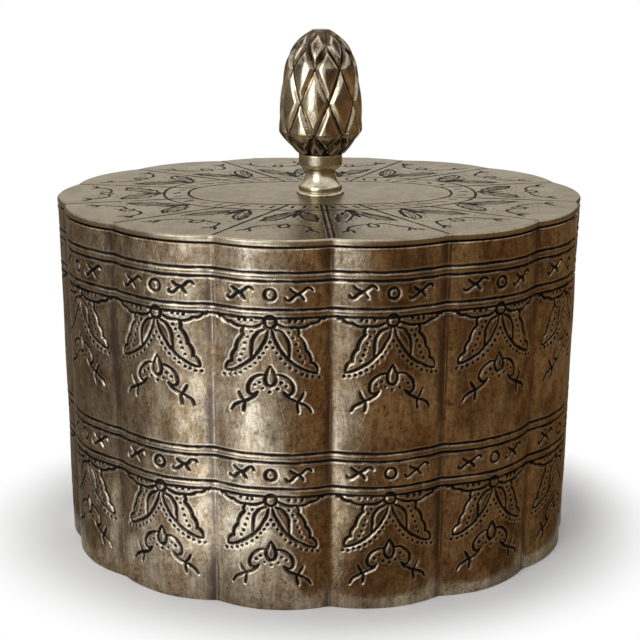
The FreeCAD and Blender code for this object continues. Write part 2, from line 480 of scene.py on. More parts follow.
def scalloped(points, bulge, steps=7):
    """Small bows from point to point, each standing out to the left of its way by bulge."""
    drawn = np.asarray(points, float)
    shares = np.linspace(0, 1, steps, endpoint=False)[:, None]
    runs = []
    for start, end in zip(drawn, drawn[1:]):
        side = -right_of(unit(end - start))
        runs.append(start + (end - start) * shares + side * bulge * 4 * shares * (1 - shares))
    return np.concatenate(runs + [drawn[-1:]])


def ring_line(middle, radius, steps=28):
    turn = np.linspace(0, 2 * np.pi, steps + 1)
    return np.asarray(middle) + radius * np.stack([np.cos(turn), np.sin(turn)], 1)


def distance_to(line, halves, x, y):
    """Least distance from each place to a broken line, as a share of the half width of its nearest part."""
    start, step = line[:-1], np.diff(line, axis=0)
    from_x = x[:, None] - start[:, 0]
    from_y = y[:, None] - start[:, 1]
    square = np.maximum((step ** 2).sum(1), 1e-12)
    share = np.clip((from_x * step[:, 0] + from_y * step[:, 1]) / square, 0, 1)
    away = (from_x - share * step[:, 0]) ** 2 + (from_y - share * step[:, 1]) ** 2
    return np.sqrt((away / halves ** 2).min(1))


print("curves, scallops and rings ready")

# %% The sheet and its punches


class ChasedSheet:
    """A sheet being worked. Each point has the depth it is cut, the dirt of its groove,
    how near it is to a groove's edge, and the height it is raised."""

    # Shares of a stroke's half width: how far off points are looked at, where the shoulder ends,
    # over what the dirt fades, where the edge lies and how wide it is, and how far out the dirt reaches
    REACH = 2.4
    SHOULDER = 1.1
    DIRT_FADE = 0.5
    EDGE_AT, EDGE_WIDTH = 1.12, 0.22
    STROKE_CORE, DOT_CORE = 0.77, 0.91
    # How much narrower a stroke is at its ends, and the share of grooves that counts as crowded
    TAPER = 0.3
    CROWDED = 0.45

    def __init__(self, x, y):
        self.x, self.y = x, y
        self.cut = np.zeros(x.shape)
        self.groove = np.zeros(x.shape)
        self.edge = np.zeros(x.shape)
        self.raised = np.zeros(x.shape)

    def near(self, low, high, margin):
        return ((self.x > low[0] - margin) & (self.x < high[0] + margin)
                & (self.y > low[1] - margin) & (self.y < high[1] + margin))

    def press(self, window, across, depth, core):
        """Cuts a groove, where across is 0 on its middle and 1 at its half width. Its dirt ends at core."""
        cut = depth * (1 - smooth_step(across, 0.0, self.SHOULDER))
        groove = 1 - smooth_step(across, core - self.DIRT_FADE, core)
        edge = np.exp(-((across - self.EDGE_AT) / self.EDGE_WIDTH) ** 2)
        self.cut[window] = np.maximum(self.cut[window], cut)
        self.groove[window] = np.maximum(self.groove[window], groove)
        self.edge[window] = np.maximum(self.edge[window], edge)

    def stroke(self, line, half_width, depth, taper=TAPER, core=STROKE_CORE):
        """Cuts a line that narrows towards its ends, where the punch is pressed less."""
        window = self.near(line.min(0), line.max(0), self.REACH * half_width)
        if window.any():
            along = (np.arange(len(line) - 1) + 0.5) / (len(line) - 1)
            halves = half_width * (1 - taper * np.abs(2 * along - 1) ** 3)
            self.press(window, distance_to(line, halves, self.x[window], self.y[window]), depth, core)

    def dot(self, place, radius, depth):
        window = self.near(place, place, self.REACH * radius)
        across = np.hypot(self.x[window] - place[0], self.y[window] - place[1]) / radius
        self.press(window, across, depth, self.DOT_CORE)

    def dome(self, place, half_size, height):
        """Raises a small boss."""
        window = self.near(place, place, max(half_size))
        share = (((self.x[window] - place[0]) / half_size[0]) ** 2
                 + ((self.y[window] - place[1]) / half_size[1]) ** 2)
        self.raised[window] += height * np.clip(1 - share, 0, None)

    def relief(self):
        return self.raised - self.cut

    def worn_and_glint_edge(self):
        """The edges beside grooves, which the finish wears bright and paints with a highlight, without
        those that lie in another groove.
        """
        return self.edge * (1 - self.groove)

    def haze(self, cells):
        """How close the work is, from 0 far off to 1 where strokes crowd: dirt and tarnish gather there."""
        spread = self.groove
        for axis in (0, 1):
            for _ in range(2):
                margin = [(cells, cells) if axis == way else (0, 0) for way in (0, 1)]
                sums = np.cumsum(np.pad(spread, margin, mode="edge"), axis)
                spread = (np.take(sums, range(2 * cells, sums.shape[axis]), axis)
                          - np.take(sums, range(sums.shape[axis] - 2 * cells), axis)) / (2 * cells)
        return smooth_step(spread, 0.0, self.CROWDED)


print("strokes, dots and bosses ready")

# %% [markdown]
# A punched pattern fills each lobe twice. From the top: a pair of lines, a ring between two sprigs,
# another pair, a scalloped swag with a boss in its middle, two leaf wings with rows of dots,
# and a drop on two curled arms.
# The drawing gives places in millimetres from the lobe's middle and from the tier's top line.
# What lies beside the middle is drawn for the right half and mirrored, but both sprigs lean the same way.
# A chaser never repeats a stroke exactly, so each copy of the drawing is nudged by small seeded amounts.

# %% The drawing on a lobe
RING_PLACE, RING_RADIUS = (0.0, -4.7), 1.2
SPRIG_PLACES = ((-6.5, -4.6), (6.3, -4.6))
SPRIG_LONG = ((-3.0, -0.7), (-2.65, -1.3), (-1.9, -1.15), (-1.1, -0.45), (-0.2, 0.05), (0.6, 0.5),
              (1.2, 1.05), (1.8, 1.3), (2.4, 1.2), (2.75, 0.75))
SPRIG_SHORT = ((-2.0, 1.15), (-1.2, 0.5), (-0.2, 0.05), (0.5, -0.6), (1.0, -1.25))
BOSS_PLACE, BOSS_RADIUS = (0.0, -10.65), 1.3
SWAG = ((12.0, -9.7), (11.15, -10.0), (8.75, -11.1), (5.6, -11.75))
SWAG_END = ((5.6, -11.75), (4.2, -11.85), (2.8, -11.6), (1.55, -10.95))
SWAG_DOTS = ((4.1, -10.4), (5.5, -10.45), (6.9, -10.4))
WING_SCALLOPS = ((5.6, -11.9), (6.0, -13.6), (7.75, -16.9), (8.75, -19.6), (10.25, -21.5))
WING_EDGE = ((10.25, -21.5), (10.0, -22.05), (8.6, -21.75), (7.0, -20.95), (5.4, -20.0), (4.0, -18.75),
             (2.7, -17.3), (1.65, -15.6), (0.9, -14.2), (0.45, -12.5))
PETAL = ((1.0, -12.2), (2.4, -12.7), (3.4, -13.8), (3.95, -15.1), (4.05, -16.7), (4.1, -18.6))
WING_DOTS = ((4.1, -12.9), (4.95, -14.05), (5.5, -15.4), (5.95, -16.8), (6.35, -18.1), (6.9, -19.35))
FRINGE_DOTS = ((0.75, -16.2), (1.5, -17.4), (2.3, -18.5), (3.25, -19.65), (4.35, -20.55), (5.55, -21.3),
               (6.8, -22.05), (8.0, -22.5), (9.25, -22.85), (10.6, -23.0))
TOP_FRINGE_DOT = (0.0, -15.0)
DROP = ((0.0, -20.3), (0.5, -21.2), (1.02, -22.4), (1.12, -23.4), (0.75, -24.4), (0.0, -24.85))
DROP_PLACE, DROP_HALF = (0.0, -23.0), (1.0, 1.7)
ARM = ((1.2, -22.3), (2.5, -22.4), (3.85, -23.2), (4.75, -24.4), (5.0, -25.6), (4.65, -26.5), (3.8, -26.8),
       (2.9, -26.2))
TWIG = ((2.8, -26.1), (3.5, -27.1), (4.8, -27.9), (5.9, -28.4), (7.2, -29.0), (8.3, -29.7), (8.95, -30.8))
TWIG_UP = ((5.9, -28.4), (6.55, -27.5), (7.1, -26.4))
TWIG_DOWN = ((5.75, -28.4), (5.8, -29.5), (6.05, -30.75))
ARM_DOTS = ((1.55, -25.3), (2.35, -23.95), (3.45, -24.7))
LOWEST_DOT = (0.0, -25.95)

SCALLOP_LINES = (SWAG, WING_SCALLOPS)
FLOWING_LINES = (SWAG_END, WING_EDGE, PETAL, ARM)
FINE_LINES = (TWIG, TWIG_UP, TWIG_DOWN)
DOT_ROWS = (SWAG_DOTS, WING_DOTS, FRINGE_DOTS, ARM_DOTS)
print("right half:", len(SCALLOP_LINES + FLOWING_LINES + FINE_LINES), "lines and",
      sum(len(row) for row in DOT_ROWS), "dots")

# %% Chasing a tier
STROKE_HALF, STROKE_DEPTH = 0.58, 0.39
FINE_HALF, FINE_DEPTH = 0.57, 0.37
RING_HALF = 0.55
DOT_RADIUS, DOT_DEPTH = 0.55, 0.28
DOT_LEAST, DOT_MOST = 0.85, 1.1
BOSS_HEIGHT = 0.14
SCALLOP_BULGE = 0.42
TIER_SLIP, SPRIG_SLIP, RING_SLIP, STROKE_SLIP, DOT_SLIP = 0.1, 0.12, 0.04, 0.045, 0.06
HAND_SEED = 1790
hand = np.random.default_rng(HAND_SEED)


def nudged(points, amount):
    """Points with a slip of the hand."""
    return np.asarray(points, float) + hand.normal(0, amount, np.shape(points))


def on_side(points, side):
    """The right half's points for side 1, their mirror image for side -1."""
    return np.asarray(points, float) * (side, 1)


def closed_half(points):
    """A closed outline from its right half, which begins and ends on the middle line."""
    return np.concatenate([on_side(points, 1), on_side(points, -1)[-2::-1]])


def chase_tier(sheet, top_line):
    """Works one tier's pattern into a sheet, top_line being the height of its uppermost line."""
    place = np.array([0.0, top_line]) + hand.normal(0, TIER_SLIP, 2)
    ring_radius = RING_RADIUS + hand.normal(0, RING_SLIP)
    sheet.stroke(ring_line(place + RING_PLACE, ring_radius), RING_HALF, STROKE_DEPTH, taper=0)
    for sprig in SPRIG_PLACES:
        middle = place + nudged(sprig, SPRIG_SLIP)
        for line in (SPRIG_LONG, SPRIG_SHORT):
            sheet.stroke(flowing(middle + nudged(line, STROKE_SLIP)), STROKE_HALF, STROKE_DEPTH)
    sheet.stroke(ring_line(place + BOSS_PLACE, BOSS_RADIUS), STROKE_HALF, STROKE_DEPTH, taper=0)
    sheet.dome(place + BOSS_PLACE, (BOSS_RADIUS, BOSS_RADIUS), BOSS_HEIGHT)
    sheet.stroke(flowing(place + closed_half(DROP)), STROKE_HALF, STROKE_DEPTH)
    sheet.dome(place + DROP_PLACE, DROP_HALF, BOSS_HEIGHT)
    for side in (1, -1):
        for line in SCALLOP_LINES:
            drawn = place + nudged(on_side(line, side), STROKE_SLIP)
            sheet.stroke(scalloped(drawn, side * SCALLOP_BULGE), STROKE_HALF, STROKE_DEPTH)
        for line in FLOWING_LINES:
            drawn = place + nudged(on_side(line, side), STROKE_SLIP)
            sheet.stroke(flowing(drawn), STROKE_HALF, STROKE_DEPTH)
        for line in FINE_LINES:
            drawn = place + nudged(on_side(line, side), STROKE_SLIP)
            sheet.stroke(flowing(drawn), FINE_HALF, FINE_DEPTH)
        for row in DOT_ROWS:
            for dot in place + nudged(on_side(row, side), DOT_SLIP):
                sheet.dot(dot, DOT_RADIUS * hand.uniform(DOT_LEAST, DOT_MOST), DOT_DEPTH)
    for dot in (TOP_FRINGE_DOT, LOWEST_DOT):
        sheet.dot(place + nudged(dot, DOT_SLIP), DOT_RADIUS, DOT_DEPTH)


print("strokes", 2 * STROKE_HALF, "mm wide and", STROKE_DEPTH, "mm deep")

# %% [markdown]
# A chased panel is a closed shell: the worked outside, a plain inside a sheet's thickness behind it,
# and the rims. One helper turns rings of points round such a section into a mesh, for the wall and the lid.
# Its own UV map lays the outside flat, so that a baked texture doesn't break up at every groove.
# Panels meet end to end, so the edges of their end faces are sharp, or the shading would show a seam.

# %% Closed shells
MAP_MARGIN, MAP_HEIGHT = 0.01, 0.98
SHEET_RIGHT, CAP_COLUMN = 0.97, 0.985


def faces_between(first, second):
    """Faces from one ring of points to the next, where one ring may have half as many."""
    if len(first) == len(second):
        return np.stack([first[:-1], first[1:], second[1:], second[:-1]], 1)
    if len(first) > len(second):
        return np.stack([first[:-2:2], first[1:-1:2], first[2::2], second[1:], second[:-1]], 1)
    return np.stack([first[:-1], first[1:], second[2::2], second[1:-1:2], second[:-2:2]], 1)


def shell_faces(numbers, across, heights):
    """The faces' corners, those corners' places on the map, and each face's count of corners.
    The two end faces come last."""
    corners, places, sizes = [], [], []
    for index, ring in enumerate(numbers):
        faces = faces_between(ring, numbers[(index + 1) % len(numbers)])
        height = np.where(np.isin(faces, ring), heights[index], heights[index + 1])
        corners.append(faces.ravel())
        places.append(np.stack([across[faces].ravel(), height.ravel()], 1))
        sizes.append(np.full(len(faces), faces.shape[1]))
    left_end = np.array([ring[0] for ring in numbers])
    right_end = np.array([ring[-1] for ring in numbers])[::-1]
    for cap in (left_end, right_end):
        column = np.linspace(MAP_MARGIN, 1 - MAP_MARGIN, len(cap))
        corners.append(cap)
        places.append(np.stack([np.full(len(cap), CAP_COLUMN), column], 1))
        sizes.append(np.array([len(cap)]))
    return [np.concatenate(runs) for runs in (corners, places, sizes)]


def closed_shell(name, rings, values, weights, material):
    """A panel from rings of points in mm, listed round its section and upwards on its outside.
    values holds one list of numbers a ring for each attribute, and weights each ring's share of the map."""
    counts = [len(ring) for ring in rings]
    starts = np.concatenate([[0], np.cumsum(counts)])
    numbers = [np.arange(start, start + count) for start, count in zip(starts, counts)]
    points = np.concatenate(rings)
    middles = np.array([ring[len(ring) // 2] for ring in rings])
    steps = np.linalg.norm(np.roll(middles, -1, axis=0) - middles, axis=1) * weights
    heights = np.concatenate([[0], np.cumsum(steps)]) / steps.sum() * MAP_HEIGHT + MAP_MARGIN
    across = np.concatenate([np.linspace(MAP_MARGIN, SHEET_RIGHT, count) for count in counts])
    corners, places, sizes = shell_faces(numbers, across, heights)
    mesh = bpy.data.meshes.new(name)
    mesh.vertices.add(len(points))
    mesh.vertices.foreach_set("co", (points * MM).astype(np.float32).ravel())
    mesh.loops.add(len(corners))
    mesh.loops.foreach_set("vertex_index", corners.astype(np.int32))
    mesh.polygons.add(len(sizes))
    face_starts = np.concatenate([[0], np.cumsum(sizes)[:-1]])
    mesh.polygons.foreach_set("loop_start", face_starts.astype(np.int32))
    mesh.update(calc_edges=True)
    mesh.polygons.foreach_set("use_smooth", np.ones(len(sizes), bool))
    for cap in mesh.polygons[-2:]:
        for corner in cap.loop_indices:
            mesh.edges[mesh.loops[corner].edge_index].use_edge_sharp = True
    for key, ring_values in values.items():
        attribute = mesh.attributes.new(key, "FLOAT", "POINT")
        attribute.data.foreach_set("value", np.concatenate(ring_values).astype(np.float32))
    bake_map = mesh.uv_layers.new(name="OFBake")
    bake_map.uv.foreach_set("vector", places.astype(np.float32).ravel())
    mesh.materials.append(material)
    return add_object(name, mesh)


def joined(parts, axis):
    """Neighbouring parts side by side, with the column that two of them share kept once."""
    return np.concatenate([parts[0]] + [np.delete(part, 0, axis) for part in parts[1:]], axis)


def triangle_count(piece):
    return sum(len(face.vertices) - 2 for face in piece.data.polygons)


print("shell helper ready")

# %% [markdown]
# Silver plate doesn't age evenly. Tarnish comes in clouds and runs, hands keep the proud parts bright,
# the edges beside grooves also carry a painted highlight, polishing leaves hair scratches, and old polish
# dries black in every groove.
# Each of these serves several finishes, so each is a node group that puts out colours and masks.
# The Principled shader stays in the material, because an exporter can't look for it inside a group.

# %% Tarnish
SOCKETS = {"place": "NodeSocketVector", "value": "NodeSocketFloat", "colour": "NodeSocketColor",
           "count": "NodeSocketInt", "material": "NodeSocketMaterial", "shape": "NodeSocketGeometry"}
CLOUD_STRETCH, MOTTLE_STRETCH, RUN_STRETCH = (1, 1, 0.7), (1, 1, 0.8), (1, 1, 0.3)
RUST_STRETCH, BRUSH_STRETCH = (1, 1, 0.6), (1, 1, 0.16)
MOTTLE_FINER, RUN_FINER = 5.0, 1.3
RUST_SHIFT = (0.3, 0.1, 0.2)
GRAINS_PER_METRE, SPECKS_PER_METRE = 1500.0, 1150.0
SPECK_MOTTLE = 0.35
# Where a mask begins and where it is full, on the noise that it comes from
MASK_STEPS = {"Cloud": (0.34, 0.68), "Mottle": (0.38, 0.62), "Run": (0.42, 0.74), "Rust": (0.5, 0.7),
              "Speck": (0.72, 0.86)}


def new_group(name, kind, inputs, outputs):
    """An empty node group, with the sockets of its inside that give its inputs and take its outputs."""
    tree = bpy.data.node_groups.new(name, kind)
    for way, sockets in (("INPUT", inputs), ("OUTPUT", outputs)):
        for socket_name, socket_kind in sockets.items():
            tree.interface.new_socket(name=socket_name, in_out=way, socket_type=SOCKETS[socket_kind])
    return tree, tree.nodes.new("NodeGroupInput").outputs, tree.nodes.new("NodeGroupOutput").inputs


def make_tarnish():
    """Soft clouds, mottling a fifth of their size, upright runs, rusty stains, fine upright brushing,
    a fine grain, and specks of tarnish."""
    masks = ("Cloud", "Mottle", "Run", "Rust", "Brush", "Grain", "Speck")
    tree, given, wanted = new_group("tarnish_clouds", "ShaderNodeTree",
                                    {"Place": "place", "Patches per metre": "value"},
                                    dict.fromkeys(masks, "value"))
    place, patches = given["Place"], given["Patches per metre"]
    mottle_scale = calculate(tree, "MULTIPLY", patches, MOTTLE_FINER)
    run_scale = calculate(tree, "MULTIPLY", patches, RUN_FINER)
    elsewhere = vector_math(tree, "ADD", {0: place, 1: RUST_SHIFT})
    cloud = noise(tree, stretched(tree, place, CLOUD_STRETCH), patches,
                  detail=4.0, rough=0.55, distortion=0.5)
    mottle = noise(tree, stretched(tree, place, MOTTLE_STRETCH), mottle_scale,
                   detail=5.0, rough=0.65, distortion=0.3)
    run = noise(tree, stretched(tree, place, RUN_STRETCH), run_scale,
                detail=4.0, rough=0.5, distortion=0.6)
    rust = noise(tree, stretched(tree, elsewhere, RUST_STRETCH), patches,
                 detail=4.0, rough=0.6, distortion=0.8)
    brush = noise(tree, stretched(tree, place, BRUSH_STRETCH), GRAINS_PER_METRE, detail=2.0, rough=0.6)
    grain = noise(tree, place, GRAINS_PER_METRE, detail=2.0, rough=0.6)
    speck = noise(tree, place, SPECKS_PER_METRE, detail=3.0, rough=0.7)
    patchy_speck = calculate(tree, "MULTIPLY_ADD", mottle, SPECK_MOTTLE, speck)
    made = {"Cloud": cloud, "Mottle": mottle, "Run": run, "Rust": rust, "Brush": brush, "Grain": grain,
            "Speck": patchy_speck}
    for mask, (begins, full) in MASK_STEPS.items():
        made[mask] = ease(tree, made[mask], begins, full)
    for mask in masks:
        tree.links.new(made[mask], wanted[mask])
    return tree


tarnish_clouds = make_tarnish()
print("effect:", tarnish_clouds.name)

# %% Scratches and patina
SCRATCH_TURNS = ((0.3, 0.1, 0.4), (1.1, 0.5, -0.6), (-0.5, 0.9, 1.3))
SCRATCH_STRETCH, SCRATCHES_PER_METRE = (26.0, 1.0, 1.0), 95.0
SCRATCH_FROM, SCRATCH_AT = 0.63, 0.72
EDGE_RUB_AND_GLINT = 0.5
DIRT_LEAST, DIRT_PATCHES = 0.5, 0.9
DIRT_FROM, DIRT_AT = 0.2, 0.8


def make_scratches():
    """Hair scratches in a few directions, 1 on a scratch."""
    tree, given, wanted = new_group("hair_scratches", "ShaderNodeTree", {"Place": "place"},
                                    {"Scratch": "value"})
    found = 0.0
    for turn in SCRATCH_TURNS:
        turned = add_node(tree, "ShaderNodeMapping", {"Vector": given["Place"], "Rotation": turn})
        drawn_out = stretched(tree, turned.outputs[0], SCRATCH_STRETCH)
        hairs = noise(tree, drawn_out, SCRATCHES_PER_METRE, detail=1.5, rough=0.5)
        found = calculate(tree, "MAXIMUM", found, ease(tree, hairs, SCRATCH_FROM, SCRATCH_AT))
    tree.links.new(found, wanted["Scratch"])
    return tree


def make_patina():
    """Dirt in grooves, and worn edges beside them that also carry a painted highlight."""
    tree, given, wanted = new_group(
        "groove_patina", "ShaderNodeTree",
        {"Metal": "colour", "Rubbed and glint": "colour", "Dirt": "colour", "Groove": "value", "Edge": "value",
         "Patches": "value"},
        {"Colour": "colour", "Dirt share": "value"})
    # Worn silver on the edges beside grooves, which also paints a highlight there
    rubbed_and_lit = calculate(tree, "MULTIPLY", given["Edge"], EDGE_RUB_AND_GLINT)
    rubbed_and_glint = blend_colours(tree, rubbed_and_lit, given["Metal"], given["Rubbed and glint"])
    patchy = calculate(tree, "MULTIPLY_ADD", given["Patches"], DIRT_PATCHES, DIRT_LEAST)
    dirt = ease(tree, calculate(tree, "MULTIPLY", given["Groove"], patchy), DIRT_FROM, DIRT_AT)
    tree.links.new(blend_colours(tree, dirt, rubbed_and_glint, given["Dirt"]), wanted["Colour"])
    tree.links.new(dirt, wanted["Dirt share"])
    return tree


hair_scratches = make_scratches()
groove_patina = make_patina()
print("effects:", [tree.name for tree in (hair_scratches, groove_patina)])

# %% [markdown]
# One recipe gives all the metals: a bright tone, the warm tone it clouds over to,
# a deep brown for the worst of it, and how rough and how patchy it is.
# Seven separate materials could do the same, but every change would then have to be made seven times.
# On the wall, dark tarnish also stays beside the creases, where no cloth reaches, and painted shade darkens
# the right flank of each lobe beside its crease, as if the light came from the left.
# Its inside is brighter, because it was hardly touched.

# %% The metal recipe
DIRT = rgb(0.012, 0.0105, 0.0095)
# Tarnish beside the creases, which also serves as painted shade on each lobe's right flank
CREASE_TARNISH_AND_SHADE = rgb(0.08, 0.055, 0.044)
FILM_TINT = rgb(0.69, 0.66, 0.6)
CLOUD_PART, MOTTLE_PART = 0.55, 0.45
RUST_PART = 0.6
HAZE_LEAST, HAZE_MOTTLE = 0.4, 0.6
CREASE_CLOUDS = 0.42
CREASE_FROM, CREASE_AT = 0.66, 0.25
# The floor of a crease keeps most of its brightness, partly as polish and partly as a painted highlight
CREASE_FLOOR, CREASE_FLOOR_WIDTH = 0.2, 0.1
INSIDE_PART = 0.7
DIRT_MOTTLE, DIRT_GRAIN = 0.5, 0.5
ROUGH_CLOUDS, ROUGH_DIRT, ROUGH_GRAIN = 0.08, 0.3, 0.05
SCRATCH_DEPTH, BUMP_DISTANCE = -0.6, 0.00006


def use_effect(tree, group, inputs):
    """A shared effect's outputs."""
    return add_node(tree, "ShaderNodeGroup", inputs, node_tree=group).outputs


def read_value(tree, name):
    """A value that the mesh carries, or 0 on a mesh without it."""
    return add_node(tree, "ShaderNodeAttribute", attribute_name=name).outputs["Fac"]


def metal_finish(name, bright, warm, brown, patches, rough, brown_share=0.5, haze_share=0.5,
                 crease_tarnish_and_shade_share=0.0, inside=None, rubbed_and_glint=None, rust=None, speck_share=0.35, fine=0.5,
                 scratch_bump=0.25):
    """A tarnished metal. bright, warm and brown are its tones, patches its clouds in a metre, rough its
    polish, fine the contrast of its grain, and each share how much it has of one kind of tarnish, with
    painted shade in the crease share."""
    material, tree = blank_material(name)
    place = object_place(tree)
    tarnish = use_effect(tree, tarnish_clouds, {"Place": place, "Patches per metre": patches})
    scratch = use_effect(tree, hair_scratches, {"Place": place})["Scratch"]
    groove, edge, haze = (read_value(tree, key) for key in ("groove", "edge", "haze"))

    # Clouds and rust, then the brown of runs, of the haze value (crowded work on the wall, skirt and crown
    # on the acorn) and of specks, then the grain
    cloud = calculate(tree, "MULTIPLY", tarnish["Cloud"], CLOUD_PART)
    clouded = calculate(tree, "MULTIPLY_ADD", tarnish["Mottle"], MOTTLE_PART, cloud)
    metal = blend_colours(tree, clouded, bright, warm)
    if rust:
        metal = blend_colours(tree, calculate(tree, "MULTIPLY", tarnish["Rust"], RUST_PART), metal, rust)
    runs = calculate(tree, "MULTIPLY", tarnish["Run"], brown_share)
    mottled = calculate(tree, "MULTIPLY_ADD", tarnish["Mottle"], HAZE_MOTTLE, HAZE_LEAST)
    mottled_haze = calculate(tree, "MULTIPLY", haze, mottled)
    browned = calculate(tree, "MULTIPLY_ADD", mottled_haze, haze_share, runs, clamp=True)
    metal = blend_colours(tree, browned, metal, brown)
    metal = blend_colours(tree, calculate(tree, "MULTIPLY", tarnish["Speck"], speck_share), metal, brown)
    grain = calculate(tree, "ADD", tarnish["Grain"], tarnish["Brush"])
    grain_shade = calculate(tree, "MULTIPLY_ADD", grain, fine, 1 - fine)
    metal = blend_colours(tree, 1.0, metal, grain_shade, "MULTIPLY")

    # What only the wall has: crease tarnish with painted shade on each lobe's right flank, and its inside
    if crease_tarnish_and_shade_share:
        rubbed_and_lit = read_value(tree, "rubbed_and_lit")
        from_crease = calculate(tree, "MULTIPLY_ADD", tarnish["Cloud"], CREASE_CLOUDS, rubbed_and_lit)
        beside = calculate(tree, "MULTIPLY", ease(tree, from_crease, CREASE_FROM, CREASE_AT),
                           ease(tree, rubbed_and_lit, 0.0, CREASE_FLOOR_WIDTH, CREASE_FLOOR))
        crease_tarnish_and_shade = calculate(tree, "MULTIPLY", beside, crease_tarnish_and_shade_share)
        metal = blend_colours(tree, crease_tarnish_and_shade, metal, CREASE_TARNISH_AND_SHADE)
    if inside:
        inner = calculate(tree, "MULTIPLY", read_value(tree, "inside"), INSIDE_PART)
        metal = blend_colours(tree, inner, metal, inside)

    # Dirt in the grooves, and how rough the surface is
    dirt_grain = calculate(tree, "MULTIPLY", tarnish["Grain"], DIRT_GRAIN)
    dirt_patches = calculate(tree, "MULTIPLY_ADD", tarnish["Mottle"], DIRT_MOTTLE, dirt_grain)
    patina = use_effect(tree, groove_patina, {
        "Metal": metal, "Rubbed and glint": rubbed_and_glint or bright, "Dirt": DIRT, "Groove": groove, "Edge": edge,
        "Patches": dirt_patches})
    spread = calculate(tree, "MULTIPLY_ADD", clouded, ROUGH_CLOUDS, rough)
    dirty = calculate(tree, "MULTIPLY_ADD", patina["Dirt share"], ROUGH_DIRT, spread)
    roughness = calculate(tree, "MULTIPLY_ADD", tarnish["Grain"], ROUGH_GRAIN, dirty, clamp=True)
    height = calculate(tree, "MULTIPLY_ADD", scratch, SCRATCH_DEPTH, tarnish["Grain"])
    bump = add_node(tree, "ShaderNodeBump",
                    {"Strength": scratch_bump, "Distance": BUMP_DISTANCE, "Height": height})
    shader = add_node(tree, "ShaderNodeBsdfPrincipled", {
        "Base Color": patina["Colour"], "Metallic": 1.0, "Roughness": roughness,
        "Normal": bump.outputs[0], "Specular Tint": FILM_TINT})
    add_node(tree, "ShaderNodeOutputMaterial", {"Surface": shader.outputs[0]})
    return material


print("metal recipe ready")

# %% The finishes
# Worn silver for the edges beside grooves, also standing in for the highlight those edges catch
RUBBED_SILVER_AND_GLINT = rgb(0.66, 0.59, 0.46)
FINISHES = {
    "chased_plate": dict(
        bright=rgb(0.43, 0.362, 0.263), warm=rgb(0.2, 0.131, 0.068), brown=rgb(0.07, 0.043, 0.024),
        patches=75.0, rough=0.19, brown_share=0.6, haze_share=0.95, crease_tarnish_and_shade_share=0.9,
        inside=rgb(0.5, 0.43, 0.31), rubbed_and_glint=RUBBED_SILVER_AND_GLINT, rust=rgb(0.2, 0.105, 0.045),
        speck_share=0.65, fine=1.2, scratch_bump=0.45),
    "engraved_plate": dict(
        bright=rgb(0.365, 0.31, 0.226), warm=rgb(0.27, 0.22, 0.152), brown=rgb(0.125, 0.097, 0.065),
        patches=60.0, rough=0.2, brown_share=0.3, haze_share=0.3, rubbed_and_glint=rgb(0.5, 0.44, 0.34)),
    "cast_silver": dict(
        bright=rgb(0.57, 0.495, 0.365), warm=rgb(0.25, 0.185, 0.105), brown=rgb(0.062, 0.041, 0.025),
        patches=110.0, rough=0.11, brown_share=0.6, haze_share=1.4, rubbed_and_glint=RUBBED_SILVER_AND_GLINT),
    "turned_silver": dict(
        bright=rgb(0.62, 0.565, 0.43), warm=rgb(0.45, 0.385, 0.255), brown=rgb(0.22, 0.17, 0.1),
        patches=160.0, rough=0.2, brown_share=0.35),
    "plain_plate": dict(
        bright=rgb(0.34, 0.285, 0.2), warm=rgb(0.22, 0.17, 0.105), brown=rgb(0.11, 0.08, 0.05),
        patches=60.0, rough=0.34, brown_share=0.4),
    "hinge_plate": dict(
        bright=rgb(0.24, 0.2, 0.14), warm=rgb(0.16, 0.125, 0.08), brown=rgb(0.09, 0.065, 0.04),
        patches=180.0, rough=0.3, brown_share=0.5),
    "turned_steel": dict(
        bright=rgb(0.42, 0.41, 0.39), warm=rgb(0.3, 0.28, 0.25), brown=rgb(0.16, 0.12, 0.09),
        patches=220.0, rough=0.3, brown_share=0.4),
}
finishes = {name: metal_finish(name, **look) for name, look in FINISHES.items()}
print("finishes:", list(finishes))

# %% [markdown]
# The wall is one sheet on the real box. Here it is seven panels of two lobes, split in the creases where no
# seam shows, because a mesh fine enough for the chasing would be too heavy as one piece.
# Rows of points lie close together on the patterns and far apart on plain metal.
# The sheet also waves a little, as hand-worked metal does, so its reflections aren't too perfect.

# %% Rows and columns of the wall
WALL_HEIGHT = (wall_high.z - wall_low.z) / MM
TOP_LINE_DROP, TIER_PITCH = 5.2, 40.4
TIER_TOPS = (WALL_HEIGHT - TOP_LINE_DROP, WALL_HEIGHT - TOP_LINE_DROP - TIER_PITCH)
PATTERN_ABOVE, PATTERN_BELOW = 0.9, 31.5
MESH_STEP, PLAIN_STEP, RIM_STEP = 0.215, 1.0, 0.08
RIM_ROUND, RIM_CUT = 0.15, 0.05
RIM_BEAD_DROP, RIM_BEAD_HALF, RIM_BEAD_HEIGHT = 0.38, 0.2, 0.16
SEAM_SHARE = 0.0012


def spaced(start, end, step):
    """Even steps from start to end, none longer than step."""
    return np.linspace(start, end, max(1, math.ceil((end - start) / step)) + 1)


def row_heights():
    """Heights of the rows on the worked outside."""
    runs, reached = [], RIM_ROUND
    for top in reversed(TIER_TOPS):
        runs.append(spaced(reached, top - PATTERN_BELOW, PLAIN_STEP)[:-1])
        runs.append(spaced(top - PATTERN_BELOW, top + PATTERN_ABOVE, MESH_STEP)[:-1])
        reached = top + PATTERN_ABOVE
    bead_bottom = WALL_HEIGHT - 2 * RIM_BEAD_DROP
    runs.append(spaced(reached, bead_bottom, PLAIN_STEP)[:-1])
    runs.append(spaced(bead_bottom, WALL_HEIGHT - RIM_ROUND, RIM_STEP))
    return np.concatenate(runs)


def lobe_shares(number):
    """Where the columns lie along a lobe, with one more close to either seam."""
    inner = spaced(0, 1, MESH_STEP / lobe_length(number))
    return np.sort(np.concatenate([inner, [SEAM_SHARE, 1 - SEAM_SHARE]]))


